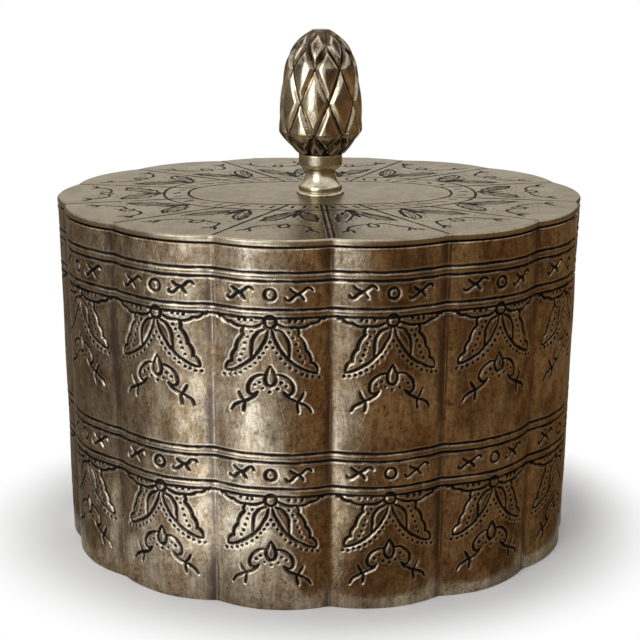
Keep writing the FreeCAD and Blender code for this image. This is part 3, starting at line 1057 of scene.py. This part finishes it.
wall_rows = row_heights()
print("wall:", len(wall_rows), "rows,", len(lobe_shares(0)), "columns on the first lobe")

# %% One chased lobe
LINE_PAIRS = ((0.0, 1.85), (7.95, 9.8))
LINE_HALF, LINE_DEPTH, LINE_CORE = 0.52, 0.31, 0.8
LINE_DRIFTS = ((0.05, 23), (0.03, 61))
RIDGE_HEIGHT, RIDGE_HALF = 0.03, 0.5
LEFT_FLANK_LIT = 4.5
SHEET_BACK = 0.16
HAZE_REACH = 1.5
WAVES = 9
WAVE_TURNS, WAVE_RISES, WAVE_SIZES = (9, 34), (0.05, 0.45), (0.012, 0.028)
lobe_starts = np.concatenate([[0], np.cumsum(lobe_lengths)])
waves = [(hand.integers(*WAVE_TURNS), hand.uniform(*WAVE_RISES), hand.uniform(0, 2 * np.pi),
          hand.uniform(*WAVE_SIZES)) for _ in range(WAVES)]


def sheet_waves(round_it, height):
    """Slow waves of the sheet, which close on themselves round the box."""
    return sum(size * np.sin(2 * np.pi * turns * round_it / perimeter + rise * height + phase)
               for turns, rise, phase, size in waves)


def chase_lobe(number):
    """One lobe's line, the directions out of it, and its worked outside's values on rows and columns."""
    length, shares = lobe_length(number), lobe_shares(number)
    place, outward = along_lobe(number, shares)
    x, y = np.meshgrid((shares - 0.5) * length, wall_rows)
    round_it = lobe_starts[number] + shares * length
    drift = sum(size * np.sin(2 * np.pi * turns * round_it / perimeter) for size, turns in LINE_DRIFTS)
    sheet = ChasedSheet(x, y)
    for top in TIER_TOPS:
        chase_tier(sheet, top)
        for pair in LINE_PAIRS:
            for drop in pair:
                window = np.abs(y - top + drop) < ChasedSheet.REACH * LINE_HALF
                across = np.abs(y - top + drop - drift)[window] / LINE_HALF
                sheet.press(window, across, LINE_DEPTH, LINE_CORE)
            middle = top - sum(pair) / 2
            sheet.raised += RIDGE_HEIGHT * np.exp(-((y - middle - drift) / RIDGE_HALF) ** 2)
    rim = RIM_BEAD_HEIGHT * np.exp(-((y - WALL_HEIGHT + RIM_BEAD_DROP) / RIM_BEAD_HALF) ** 2)
    # The whole outside lies a little back, so that nothing stands out past the CAD wall
    relief = np.minimum(sheet.relief() + rim + sheet_waves(round_it, y) - SHEET_BACK, 0)
    # Beside a crease, tarnish and painted shade reach less far on the left flank of a lobe than on the
    # right one, so each right flank is painted darker as if lit from the left
    from_crease = np.minimum(np.where(shares < 0.5, shares * LEFT_FLANK_LIT, 1 - shares), 0.5)
    rubbed_and_lit = np.broadcast_to(1 - (1 - 2 * from_crease) ** 3, x.shape)
    haze = sheet.haze(round(HAZE_REACH / MESH_STEP))
    return {"place": place, "outward": outward, "relief": relief, "groove": sheet.groove,
            "edge": sheet.worn_and_glint_edge(), "rubbed_and_lit": rubbed_and_lit, "haze": haze}


print("sheet waves:", len(waves), "of up to", round(max(size for *_, size in waves), 3), "mm")

# %% The wall panels
PANEL_LOBES = 2
WALL_THICKNESS = 1.0
INSIDE_HEIGHTS = (WALL_HEIGHT - RIM_ROUND, WALL_HEIGHT - 1, WALL_HEIGHT / 2, 1.5, RIM_ROUND)
WALL_VALUES = ("groove", "edge", "rubbed_and_lit", "haze")
RIM_MAP_WEIGHT = 0.25


def wall_section():
    """Offset and height of the rings over the rim, down the inside, and under the lower edge."""
    front, back = -SHEET_BACK, -WALL_THICKNESS
    over = [(front - RIM_CUT, WALL_HEIGHT - RIM_CUT), (front - RIM_ROUND, WALL_HEIGHT),
            (back + RIM_ROUND, WALL_HEIGHT), (back + RIM_CUT, WALL_HEIGHT - RIM_CUT)]
    inside = [(back, height) for height in INSIDE_HEIGHTS]
    under = [(back + RIM_CUT, RIM_CUT), (back + RIM_ROUND, 0.0), (front - RIM_ROUND, 0.0),
             (front - RIM_CUT, RIM_CUT)]
    return over, inside, under


def wall_panel(first):
    """A panel of two lobes, from crease to crease."""
    lobes = [chase_lobe(number) for number in range(first, first + PANEL_LOBES)]
    place, outward = (joined([lobe[key] for lobe in lobes], 0) for key in ("place", "outward"))
    grids = {key: joined([lobe[key] for lobe in lobes], 1) for key in ("relief",) + WALL_VALUES}
    over, inside, under = wall_section()
    section = over + inside + under
    rings = [at_height(place + outward * depth[:, None], height)
             for depth, height in zip(grids["relief"], wall_rows)]
    rings += [at_height(place + outward * depth, height) for depth, height in section]
    none, full = np.zeros(len(place)), np.ones(len(place))
    values = {key: list(grids[key]) + [none] * len(section) for key in WALL_VALUES}
    before_inside = len(wall_rows) + len(over)
    values["inside"] = [none] * before_inside + [full] * len(inside) + [none] * len(under)
    weights = np.array([1.0] * len(wall_rows) + [RIM_MAP_WEIGHT] * len(section))
    name = f"wall_panel_{first // PANEL_LOBES + 1}"
    panel = closed_shell(name, rings, values, weights, finishes["chased_plate"])
    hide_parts("body_wall")
    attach(panel, "box")
    return panel


wall_panels = [wall_panel(first) for first in range(0, LOBES, PANEL_LOBES)]
print("wall panels:", len(wall_panels), "of", triangle_count(wall_panels[0]), "triangles")

# %% [markdown]
# The lid is a flat stamping with the same fluted edge.
# Fine engraved lines run in from each notch to an oval band, and each of the fourteen fields between them
# repeats the wall's leaves and drop in small.
# A field is wedge-shaped, so its drawing is made across from -1 to 1 and out from 0 at the band
# to 1 at the edge, and only then laid on the lid.
# The lines are cut in the same way as the wall's, but finer and shallower.

# %% The drawing on the lid
INNER_OVAL, OUTER_OVAL = (31.8, 15.0), (37.6, 21.3)
BAND_FULLNESS = 2.35
LEAF_OUTSIDE = ((0.1, 0.03), (0.36, 0.09), (0.6, 0.19), (0.75, 0.31), (0.74, 0.43))
LEAF_INSIDE = ((0.08, 0.04), (0.13, 0.16), (0.27, 0.28), (0.48, 0.38), (0.74, 0.43))
LEAF_VEIN_SHARES = (0.28, 0.5, 0.72)
BAND_LEAF = ((0.02, 0.02), (-0.06, 0.1), (-0.03, 0.2), (0.02, 0.26))
LID_DROP = ((0.0, 0.49), (0.06, 0.52), (0.11, 0.565), (0.07, 0.605), (0.0, 0.615))
LID_ARM = ((0.12, 0.53), (0.33, 0.535), (0.53, 0.6), (0.64, 0.7), (0.66, 0.76))
LID_FORKS = (((0.64, 0.7), (0.56, 0.73), (0.53, 0.78)), ((0.65, 0.72), (0.73, 0.75), (0.78, 0.8)))
LID_LINES = (LEAF_INSIDE, LID_ARM, BAND_LEAF) + LID_FORKS
LID_DOTS = ((0.16, 0.63), (0.3, 0.615), (0.43, 0.66), (0.34, 0.4), (0.52, 0.47), (0.7, 0.5), (0.19, 0.32))
BAND_DASHES = (((-0.62, 0.3), (-0.5, 0.6)), ((-0.08, 0.35), (0.06, 0.6)), ((0.5, 0.32), (0.62, 0.62)))
print("right half of a field:", len(LID_LINES) + 1, "lines,", len(LEAF_VEIN_SHARES), "veins and",
      len(LID_DOTS), "dots")

# %% A field of the lid
LID_EDGE_ROUND = 0.6
SPOKE_OVERRUN = 1.0


def band_reach(ways, half_sizes):
    """How far one of the lid's ovals lies from the middle along each way."""
    return oval_reach(ways, half_sizes, BAND_FULLNESS)


class LidField:
    """One wedge of the lid between two notches, and where its drawing lies on the lid."""

    def __init__(self, number, shares):
        self.number = number
        self.place, self.outward = along_lobe(number, shares)
        edge = self.place - self.outward * LID_EDGE_ROUND
        self.reaches = np.linalg.norm(edge, axis=1)
        self.directions = edge / self.reaches[:, None]
        self.sideways = right_of(self.directions[len(shares) // 2])

    def ways(self, across):
        """Directions from the lid's middle, at -1 to 1 across the field."""
        share = (np.asarray(across)[:, None] + 1) / 2
        return unit_rows(self.directions[0] * (1 - share) + self.directions[-1] * share)

    def edge_reach(self, ways):
        """How far the flat top reaches along each way."""
        turns = self.directions @ self.sideways
        return np.interp(ways @ self.sideways, turns[::-1], self.reaches[::-1])

    def lay(self, drawing, in_band=False):
        """Places of a drawing that runs out from the band to the edge, or only through the band."""
        across, out = np.asarray(drawing, float).T
        ways = self.ways(across)
        if in_band:
            start, end = band_reach(ways, INNER_OVAL), band_reach(ways, OUTER_OVAL)
        else:
            start, end = band_reach(ways, OUTER_OVAL), self.edge_reach(ways)
        return ways * (start + (end - start) * out)[:, None]

    def spoke(self, side):
        """The line from the inner oval to a notch, at the field's first side (0) or its last (-1)."""
        way = self.directions[side]
        start = band_reach(way[None], INNER_OVAL)[0]
        return np.stack([way * start, way * (self.reaches[side] + SPOKE_OVERRUN)])


lid_low, lid_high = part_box("lid_plate")
LID_BOTTOM, LID_TOP = lid_low.z / MM, lid_high.z / MM
print("lid from", round(LID_BOTTOM, 2), "to", round(LID_TOP, 2), "mm")

# %% Engraving a field
ENGRAVED_HALF, ENGRAVED_DEPTH = 0.44, 0.16
VEIN_HALF, VEIN_DEPTH = 0.22, 0.06
SPOKE_HALF, SPOKE_DEPTH = 0.42, 0.18
ENGRAVED_CORE = 1.1
DOUBLE_SPOKE_GAP = 0.55
BAND_ACROSS, BAND_POINTS = 1.15, 40
LID_BULGE = 0.018
LID_SLIP, VEIN_SLIP, DASH_SLIP = 0.012, 0.006, 0.05


def engrave(field, sheet):
    """Cuts one field's drawing into its part of the lid."""
    for oval in (INNER_OVAL, OUTER_OVAL):
        ways = field.ways(np.linspace(-BAND_ACROSS, BAND_ACROSS, BAND_POINTS))
        band = ways * band_reach(ways, oval)[:, None]
        sheet.stroke(band, SPOKE_HALF, SPOKE_DEPTH, 0, ENGRAVED_CORE)
    for side, notch in ((0, field.number), (-1, (field.number + 1) % LOBES)):
        spoke = field.spoke(side)
        aside = right_of(unit(spoke[1])) * DOUBLE_SPOKE_GAP
        # The front and the back notch have a double spoke
        double = notch % (LOBES // 2) == 0
        for shift in ((-aside, aside) if double else (0 * aside,)):
            sheet.stroke(spoke + shift, SPOKE_HALF, SPOKE_DEPTH, 0, ENGRAVED_CORE)
    lines, veins = [flowing(closed_half(LID_DROP))], []
    for side in (1, -1):
        lines.append(scalloped(nudged(on_side(LEAF_OUTSIDE, side), LID_SLIP), side * LID_BULGE))
        for line in LID_LINES:
            lines.append(flowing(nudged(on_side(line, side), LID_SLIP)))
        for share in LEAF_VEIN_SHARES:
            vein = np.array(LEAF_INSIDE) * (1 - share) + np.array(LEAF_OUTSIDE) * share
            veins.append(flowing(nudged(on_side(vein[1:], side), VEIN_SLIP)))
        for dot in nudged(on_side(LID_DOTS, side), LID_SLIP):
            sheet.dot(field.lay(dot[None])[0], ENGRAVED_HALF, ENGRAVED_DEPTH)
    for line in lines:
        sheet.stroke(field.lay(line), ENGRAVED_HALF, ENGRAVED_DEPTH, core=ENGRAVED_CORE)
    for line in veins:
        sheet.stroke(field.lay(line), VEIN_HALF, VEIN_DEPTH, core=ENGRAVED_CORE)
    for dash in BAND_DASHES:
        drawn = field.lay(nudged(dash, DASH_SLIP), in_band=True)
        sheet.stroke(drawn, ENGRAVED_HALF, ENGRAVED_DEPTH, core=ENGRAVED_CORE)


print("engraved lines", 2 * ENGRAVED_HALF, "mm wide and", ENGRAVED_DEPTH, "mm deep")

# %% [markdown]
# The lid's mesh is a fan of rings. Its points would crowd together near the middle,
# so the rings inside the leaves have only half as many. Four pieces, split at notches, keep each one light.
# Extra rings close to a corner hold its shading: without them a flat face next to it would look dished.

# %% Rings of the lid
LID_THICKNESS = 0.8
LID_UNDERSIDE = LID_TOP - LID_THICKNESS
LID_LIP_WIDTH = 1.2
UNDERCUT, UNDERCUT_STEPS = 0.34, 6
EDGE_TURN_STEP = 11.25
SUPPORT = 0.08
STUD_HOLE = 1.6
HOLE_RINGS = (STUD_HOLE, STUD_HOLE + SUPPORT)
LID_STEP = 0.2
LOBE_ALLOWANCE = 3.0
LID_COLUMNS = 2 * round(max(lobe_lengths) / LID_STEP / 2)
LID_ROWS = math.ceil((CREASE_OVAL[1] - INNER_OVAL[1] + LOBE_ALLOWANCE) / LID_STEP)
FINE_SHARE = 0.5
FINE_ROWS = int(LID_ROWS * FINE_SHARE)
BAND_MARGIN = 1.0


def lid_section():
    """Offset and height of the rings from the underside round the edge to the flat top."""
    lip = -LID_LIP_WIDTH
    section = [(lip - SUPPORT, LID_UNDERSIDE), (lip, LID_UNDERSIDE), (lip, LID_UNDERSIDE - SUPPORT),
               (lip, LID_BOTTOM + SUPPORT), (lip, LID_BOTTOM), (lip + SUPPORT, LID_BOTTOM),
               (-UNDERCUT - SUPPORT, LID_BOTTOM)]
    widest = LID_TOP - LID_EDGE_ROUND
    for share in np.linspace(0, 1, UNDERCUT_STEPS, endpoint=False):
        section.append((-UNDERCUT * (1 - share) ** 2, LID_BOTTOM + (widest - LID_BOTTOM) * share))
    for turn in np.radians(np.arange(0, 90, EDGE_TURN_STEP)):
        section.append((-LID_EDGE_ROUND * (1 - math.cos(turn)),
                        LID_TOP - LID_EDGE_ROUND * (1 - math.sin(turn))))
    return section


def engraved_field(number):
    """One field's line, the directions out of it, and its worked top from the edge in past the band."""
    field = LidField(number, np.linspace(0, 1, LID_COLUMNS + 1))
    start = band_reach(field.directions, INNER_OVAL) - BAND_MARGIN
    reach = start + (field.reaches - start) * np.linspace(1, 0, LID_ROWS + 1)[:, None]
    x, y = reach * field.directions[:, 0], reach * field.directions[:, 1]
    sheet = ChasedSheet(x, y)
    engrave(field, sheet)
    top = np.stack([x, y, LID_TOP + sheet.relief()], 2)
    return {"place": field.place, "outward": field.outward, "top": top, "groove": sheet.groove,
            "edge": sheet.worn_and_glint_edge()}


print("lid:", LID_ROWS, "rows of", LID_COLUMNS, "steps in a field")

# %% The engraved lid
LID_SPLITS = ((0, 4), (4, 7), (7, 11), (11, 14))
MEDALLION_SHARES = (0.97, 0.85, 0.7, 0.55, 0.4, 0.28)
UNDER_MAP_WEIGHT, MEDALLION_MAP_WEIGHT = 0.15, 0.5


def lid_piece(number, first, last):
    """Part of the lid from one notch to another."""
    fields = [engraved_field(field) for field in range(first, last)]
    place, outward = (joined([field[key] for field in fields], 0) for key in ("place", "outward"))
    top, groove, edge = (joined([field[key] for field in fields], 1) for key in ("top", "groove", "edge"))
    ways = unit_rows(place)
    under = [at_height(ways * reach, LID_UNDERSIDE) for reach in HOLE_RINGS]
    under += [at_height(place + outward * depth, height) for depth, height in lid_section()]
    steps = [1 if row < FINE_ROWS else 2 for row in range(LID_ROWS + 1)]
    worked = [top[row, ::step] for row, step in enumerate(steps)]
    inner = worked[-1][:, :2]
    medallion = [at_height(inner * share, LID_TOP) for share in MEDALLION_SHARES]
    medallion += [at_height(ways[::2] * reach, LID_TOP) for reach in reversed(HOLE_RINGS)]
    below, within = [np.zeros(len(place))] * len(under), [np.zeros(len(inner))] * len(medallion)
    values = {}
    for key, grid in (("groove", groove), ("edge", edge)):
        values[key] = below + [grid[row, ::step] for row, step in enumerate(steps)] + within
    weights = np.array([UNDER_MAP_WEIGHT] * len(under) + [1.0] * len(worked)
                       + [MEDALLION_MAP_WEIGHT] * len(medallion))
    rings = under + worked + medallion
    piece = closed_shell(f"lid_part_{number}", rings, values, weights, finishes["engraved_plate"])
    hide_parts("lid_plate")
    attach(piece, "lid")
    return piece


lid_parts = [lid_piece(number, *notches) for number, notches in enumerate(LID_SPLITS, 1)]
print("lid parts:", [triangle_count(part) for part in lid_parts], "triangles")

# %% [markdown]
# The finial is two pieces, a foot and an acorn. Both are round, so each begins as a profile that is spun.
# A Screw modifier could spin it. A short function does it here, because the acorn's lattice needs to know
# the turn and the row of every point.
# Corners of polished metal are never quite sharp, and a rounded corner is what catches the light,
# so every corner of a profile is softened before it is spun.

# %% Turned shapes
CORNER_SHARE, CORNER_POINTS = 0.45, 5
LEAST_STEP_SHARE = 0.2


def bowed(start, end, bow, steps=10):
    """A profile line from start to end that stands out by bow; its last point is left to the next line."""
    start, end = np.array(start, float), np.array(end, float)
    side = right_of(unit(end - start))
    shares = np.linspace(0, 1, steps, endpoint=False)[:, None]
    return start + (end - start) * shares + side * bow * 4 * shares * (1 - shares)


def softened(profile, cut, sharper_than=0.3):
    """Rounds the corners of a profile that turn by more than an angle."""
    soft = [profile[0]]
    for before, corner, after in zip(profile, profile[1:], profile[2:]):
        way_in, way_out = unit(corner - before), unit(after - corner)
        bend = math.atan2(way_in[0] * way_out[1] - way_in[1] * way_out[0], way_in @ way_out)
        if abs(bend) < sharper_than:
            soft.append(corner)
            continue
        start = corner - way_in * min(cut, CORNER_SHARE * np.linalg.norm(corner - before))
        end = corner + way_out * min(cut, CORNER_SHARE * np.linalg.norm(after - corner))
        for share in np.linspace(0, 1, CORNER_POINTS):
            soft.append(start * (1 - share) ** 2 + corner * 2 * share * (1 - share) + end * share ** 2)
    return np.array(soft + [profile[-1]])


def evenly(profile, step):
    """The profile with points about a step apart."""
    lengths = np.concatenate([[0], np.cumsum(np.linalg.norm(np.diff(profile, axis=0), axis=1))])
    wanted = np.unique(np.concatenate([lengths, np.arange(0, lengths[-1], step)]))
    wanted = wanted[np.concatenate([[True], np.diff(wanted) > step * LEAST_STEP_SHARE])]
    return np.stack([np.interp(wanted, lengths, profile[:, axis]) for axis in (0, 1)], 1)


def turns_round(columns):
    return np.linspace(0, 2 * np.pi, columns, endpoint=False)


def spun(name, profile, columns, material=None):
    """A closed mesh from a profile of radius and height in mm, whose ends lie on the axis."""
    turn = turns_round(columns)
    ring = np.stack([np.sin(turn), -np.cos(turn)], 1)
    bottom, top = (np.array([(0.0, 0.0, profile[end, 1])]) for end in (0, -1))
    rings = [at_height(ring * radius, height) for radius, height in profile[1:-1]]
    points = np.concatenate([bottom] + rings + [top])
    rows = len(profile) - 2
    index = np.arange(rows * columns).reshape(rows, columns) + 1
    beside = np.roll(index, -1, axis=1)
    faces = [(0, b, a) for a, b in zip(index[0], beside[0])]
    for row in range(rows - 1):
        faces += zip(index[row], beside[row], beside[row + 1], index[row + 1])
    faces += [(a, b, len(points) - 1) for a, b in zip(index[-1], beside[-1])]
    faces = [tuple(int(corner) for corner in face) for face in faces]
    made = mesh_object(name, points * MM, faces, material)
    made.data.polygons.foreach_set("use_smooth", np.ones(len(faces), bool))
    return made


print("lathe ready")

# %% [markdown]
# The foot was turned on a lathe: a flange on the lid, an ankle, a waist and a collar under the acorn.
# Its metal is brighter than the acorn's, because its plain curves are easy to wipe.

# %% The turned foot
foot_low, foot_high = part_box("finial_pedestal")
FOOT_BOTTOM, FOOT_TOP = foot_low.z / MM, foot_high.z / MM
FLANGE, ANKLE, WAIST, COLLAR = 5.8, 5.15, 3.6, 5.25
FLANGE_TOP, ANKLE_TOP = FOOT_BOTTOM + 0.7, FOOT_BOTTOM + 2.0
WAIST_BOTTOM, WAIST_TOP = FOOT_BOTTOM + 4.9, FOOT_BOTTOM + 5.7
COLLAR_BOTTOM = FOOT_BOTTOM + 7.2
FLANGE_BOW, ANKLE_BOW, NECK_BOW, COLLAR_BOW = 0.18, 0.13, -0.25, 0.25
FOOT_ROUND, FOOT_STEP, FOOT_COLUMNS = 0.16, 0.22, 96

foot_profile = np.concatenate([
    [(0, FOOT_BOTTOM)],
    bowed((FLANGE, FOOT_BOTTOM), (ANKLE, FLANGE_TOP), FLANGE_BOW),
    bowed((ANKLE, FLANGE_TOP), (ANKLE, ANKLE_TOP), ANKLE_BOW),
    bowed((ANKLE, ANKLE_TOP), (WAIST, WAIST_BOTTOM), NECK_BOW),
    bowed((WAIST, WAIST_BOTTOM), (WAIST, WAIST_TOP), 0, steps=3),
    bowed((WAIST, WAIST_TOP), (COLLAR, COLLAR_BOTTOM), COLLAR_BOW),
    [(COLLAR, COLLAR_BOTTOM), (COLLAR, FOOT_TOP), (0, FOOT_TOP)],
])
foot_rows = evenly(softened(foot_profile, FOOT_ROUND), FOOT_STEP)
foot = spun("finial_foot", foot_rows, FOOT_COLUMNS, finishes["turned_silver"])
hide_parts("finial_pedestal")
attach(foot, "lid")
print("foot:", triangle_count(foot), "triangles")

# %% [markdown]
# The acorn was cast with a lattice: lines climb both ways from node to node and leave a ring of eight
# diamonds, each set half a step round from the ring below. That is a rule, so Geometry Nodes make it.
# They need a blank that carries two values: its turn round the axis,
# and its row, which is whole at each ring of nodes.

# %% The acorn's blank
acorn_low, acorn_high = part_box("finial_acorn")
ACORN_BOTTOM, ACORN_TOP = acorn_low.z / MM, acorn_high.z / MM
ACORN_BASE, ACORN_WIDEST, ACORN_SHOULDER, ACORN_TIP = 5.6, 10.1, 8.7, 1.9
SKIRT_TOP = ACORN_BOTTOM + 5.4
SHOULDER = SKIRT_TOP + 15.0
SKIRT_BOW, BODY_BOW, CROWN_BOW = 0.2, 0.38, 1.39
BOW_STEPS = 24
ACORN_ROUND, ACORN_SHARP, ACORN_STEP = 0.7, 0.25, 0.24
ACORN_COLUMNS = 256
NODE_RISES = (0.0, 4.6, 12.9, 20.7, 26.4, 30.6)

acorn_profile = np.concatenate([
    [(0, ACORN_BOTTOM)],
    bowed((ACORN_BASE, ACORN_BOTTOM), (ACORN_WIDEST, SKIRT_TOP), SKIRT_BOW),
    bowed((ACORN_WIDEST, SKIRT_TOP), (ACORN_SHOULDER, SHOULDER), BODY_BOW, BOW_STEPS),
    bowed((ACORN_SHOULDER, SHOULDER), (ACORN_TIP, ACORN_TOP), CROWN_BOW, BOW_STEPS),
    [(ACORN_TIP, ACORN_TOP), (0, ACORN_TOP)],
])
acorn_rows = evenly(softened(acorn_profile, ACORN_ROUND, ACORN_SHARP), ACORN_STEP)
acorn = spun("finial_lattice", acorn_rows, ACORN_COLUMNS)
node_rows = np.interp(acorn_rows[:, 1] - ACORN_BOTTOM, NODE_RISES, range(len(NODE_RISES)))
blank_values = {"turn": np.tile(turns_round(ACORN_COLUMNS), len(acorn_rows) - 2),
                "row": np.repeat(node_rows[1:-1], ACORN_COLUMNS)}
for key, ring_values in blank_values.items():
    # The points on the axis take their neighbours' values
    point_values = np.pad(ring_values, 1, mode="edge").astype(np.float32)
    acorn.data.attributes.new(key, "FLOAT", "POINT").data.foreach_set("value", point_values)
print("blank:", len(acorn_rows), "rows,", triangle_count(acorn), "triangles")

# %% [markdown]
# Within a row, the two lines lie as far from a node as the row has climbed,
# and the distance to them cuts the groove.
# Between the lines the metal swells to a smooth pillow: the product of two sines,
# one for each way that the lines climb. Towards the tip the lattice fades out.

# %% The acorn's lattice
LINE_SLANT = 0.9
DARK_FROM, DARK_AT = 0.26, 0.05
# An edge band beside each groove, which the finish wears bright and paints with a highlight
EDGE_RISE, EDGE_FALL = (0.6, 1.0), (1.5, 1.05)
LATTICE_GONE, LATTICE_FULL = 4.8, 3.5
# The haze value browns the acorn, so it is darker towards the bottom of its skirt and towards its crown
SKIRT_HAZE, CROWN_HAZE = (1.1, 0.8), (2.6, 3.9)


def lattice_tree():
    """Cuts a diamond lattice into a blank that carries turn and row."""
    tree, given, wanted = new_group(
        "diamond_lattice", "GeometryNodeTree",
        {"Geometry": "shape", "Diamonds round": "count", "First node": "value",
         "Groove half width": "value", "Groove depth": "value", "Pillow": "value", "Finish": "material"},
        {"Geometry": "shape"})
    carried = [add_node(tree, "GeometryNodeInputNamedAttribute", {"Name": name}, data_type="FLOAT")
               for name in ("turn", "row")]
    turn, row = (node.outputs[0] for node in carried)

    # How far round from the nearest lines a point lies, in steps from node to node and then in metres
    climbed = calculate(tree, "MULTIPLY", calculate(tree, "FRACT", row), 0.5)
    odd = calculate(tree, "MODULO", calculate(tree, "FLOOR", row), 2.0)
    from_first = calculate(tree, "SUBTRACT", turn, given["First node"])
    turned_share = calculate(tree, "DIVIDE", from_first, 2 * math.pi)
    steps = calculate(tree, "MULTIPLY", turned_share, given["Diamonds round"])
    shifted = calculate(tree, "MULTIPLY_ADD", odd, 0.5, steps)
    from_node = calculate(tree, "SUBTRACT", shifted, calculate(tree, "ROUND", shifted))
    beside_node = calculate(tree, "ABSOLUTE", from_node)
    gap = calculate(tree, "ABSOLUTE", calculate(tree, "SUBTRACT", beside_node, climbed))
    place = add_node(tree, "GeometryNodeInputPosition").outputs[0]
    radius = vector_math(tree, "LENGTH", {0: stretched(tree, place, (1, 1, 0))}, "Value")
    girth = calculate(tree, "MULTIPLY", radius, 2 * math.pi)
    step_length = calculate(tree, "DIVIDE", girth, given["Diamonds round"])
    gap_length = calculate(tree, "MULTIPLY", calculate(tree, "MULTIPLY", gap, step_length), LINE_SLANT)
    across = calculate(tree, "DIVIDE", gap_length, given["Groove half width"])

    # The groove, the pillow between grooves, and the values for the finish
    fade = ease(tree, row, LATTICE_GONE, LATTICE_FULL)
    groove = calculate(tree, "MULTIPLY", ease(tree, across, DARK_FROM, DARK_AT), fade)
    edge = calculate(tree, "MULTIPLY", ease(tree, across, *EDGE_RISE), ease(tree, across, *EDGE_FALL))
    haze = calculate(tree, "MAXIMUM", ease(tree, row, *SKIRT_HAZE), ease(tree, row, *CROWN_HAZE))
    sines = []
    for slope in (0.5, -0.5):
        phase = calculate(tree, "MULTIPLY", math.pi, calculate(tree, "MULTIPLY_ADD", row, slope, steps))
        sines.append(calculate(tree, "SINE", phase))
    swell = calculate(tree, "ABSOLUTE", calculate(tree, "MULTIPLY", *sines))
    pillow = calculate(tree, "MULTIPLY", calculate(tree, "SUBTRACT", swell, 1.0), given["Pillow"])
    valley = calculate(tree, "SUBTRACT", 1.0, across, clamp=True)
    cut = calculate(tree, "MULTIPLY", valley, given["Groove depth"])
    relief = calculate(tree, "MULTIPLY", calculate(tree, "SUBTRACT", pillow, cut), fade)

    # The values are stored, and the points move along their normals
    shape = given["Geometry"]
    for name, value in (("groove", groove), ("edge", edge), ("haze", haze)):
        sockets = {"Geometry": shape, "Name": name, "Value": value}
        shape = add_node(tree, "GeometryNodeStoreNamedAttribute", sockets, data_type="FLOAT",
                         domain="POINT").outputs[0]
    normal = add_node(tree, "GeometryNodeInputNormal").outputs[0]
    offset = vector_math(tree, "SCALE", {0: normal, "Scale": relief})
    shape = add_node(tree, "GeometryNodeSetPosition", {"Geometry": shape, "Offset": offset}).outputs[0]
    shape = add_node(tree, "GeometryNodeRealizeInstances", {"Geometry": shape}).outputs[0]
    finish = {"Geometry": shape, "Material": given["Finish"]}
    shape = add_node(tree, "GeometryNodeSetMaterial", finish).outputs[0]
    tree.links.new(shape, wanted["Geometry"])
    return tree


diamond_lattice = lattice_tree()
print("lattice tree:", len(diamond_lattice.nodes), "nodes")

# %% The cast acorn
LATTICE_INPUTS = {
    "Diamonds round": 8, "First node": math.radians(9.5), "Groove half width": 1.0 * MM,
    "Groove depth": 0.6 * MM, "Pillow": 0.38 * MM, "Finish": finishes["cast_silver"],
}


def apply_tree(piece, tree, inputs):
    """Runs a Geometry Nodes tree on a piece, and keeps the result as its plain mesh."""
    modifier = piece.modifiers.new(tree.name, "NODES")
    modifier.node_group = tree
    for socket in tree.interface.items_tree:
        if socket.in_out == "INPUT" and socket.name in inputs:
            modifier[socket.identifier] = inputs[socket.name]
    graph = bpy.context.evaluated_depsgraph_get()
    made = bpy.data.meshes.new_from_object(piece.evaluated_get(graph), preserve_all_data_layers=True,
                                           depsgraph=graph)
    piece.modifiers.remove(modifier)
    piece.data = made


apply_tree(acorn, diamond_lattice, LATTICE_INPUTS)
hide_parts("finial_acorn")
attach(acorn, "lid")
print("acorn:", triangle_count(acorn), "triangles, with", acorn.data.attributes.keys())

# %% [markdown]
# The base, the bezel under the lid, the hinge and the finial's fastening are simple solids,
# and their CAD shapes are already right. They could be made again with finer meshes, but most are hidden,
# so they keep those shapes and get their finish.

# %% Finishes for the CAD solids
NODE_FINISHES = {
    "plain_plate": ("base_plate", "lid_bezel"),
    "hinge_plate": ("body_knuckle_left", "body_knuckle_right", "lid_knuckle"),
    "turned_steel": ("hinge_pin", "finial_stud", "finial_washer", "finial_nut"),
}
for finish, names in NODE_FINISHES.items():
    for name in names:
        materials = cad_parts[name].data.materials
        materials.clear()
        materials.append(finishes[finish])
    print(finish, "on", names)

# %% [markdown]
# Last comes the colour handling.

# %% Colour handling
bpy.context.scene.view_settings.view_transform = "Standard"
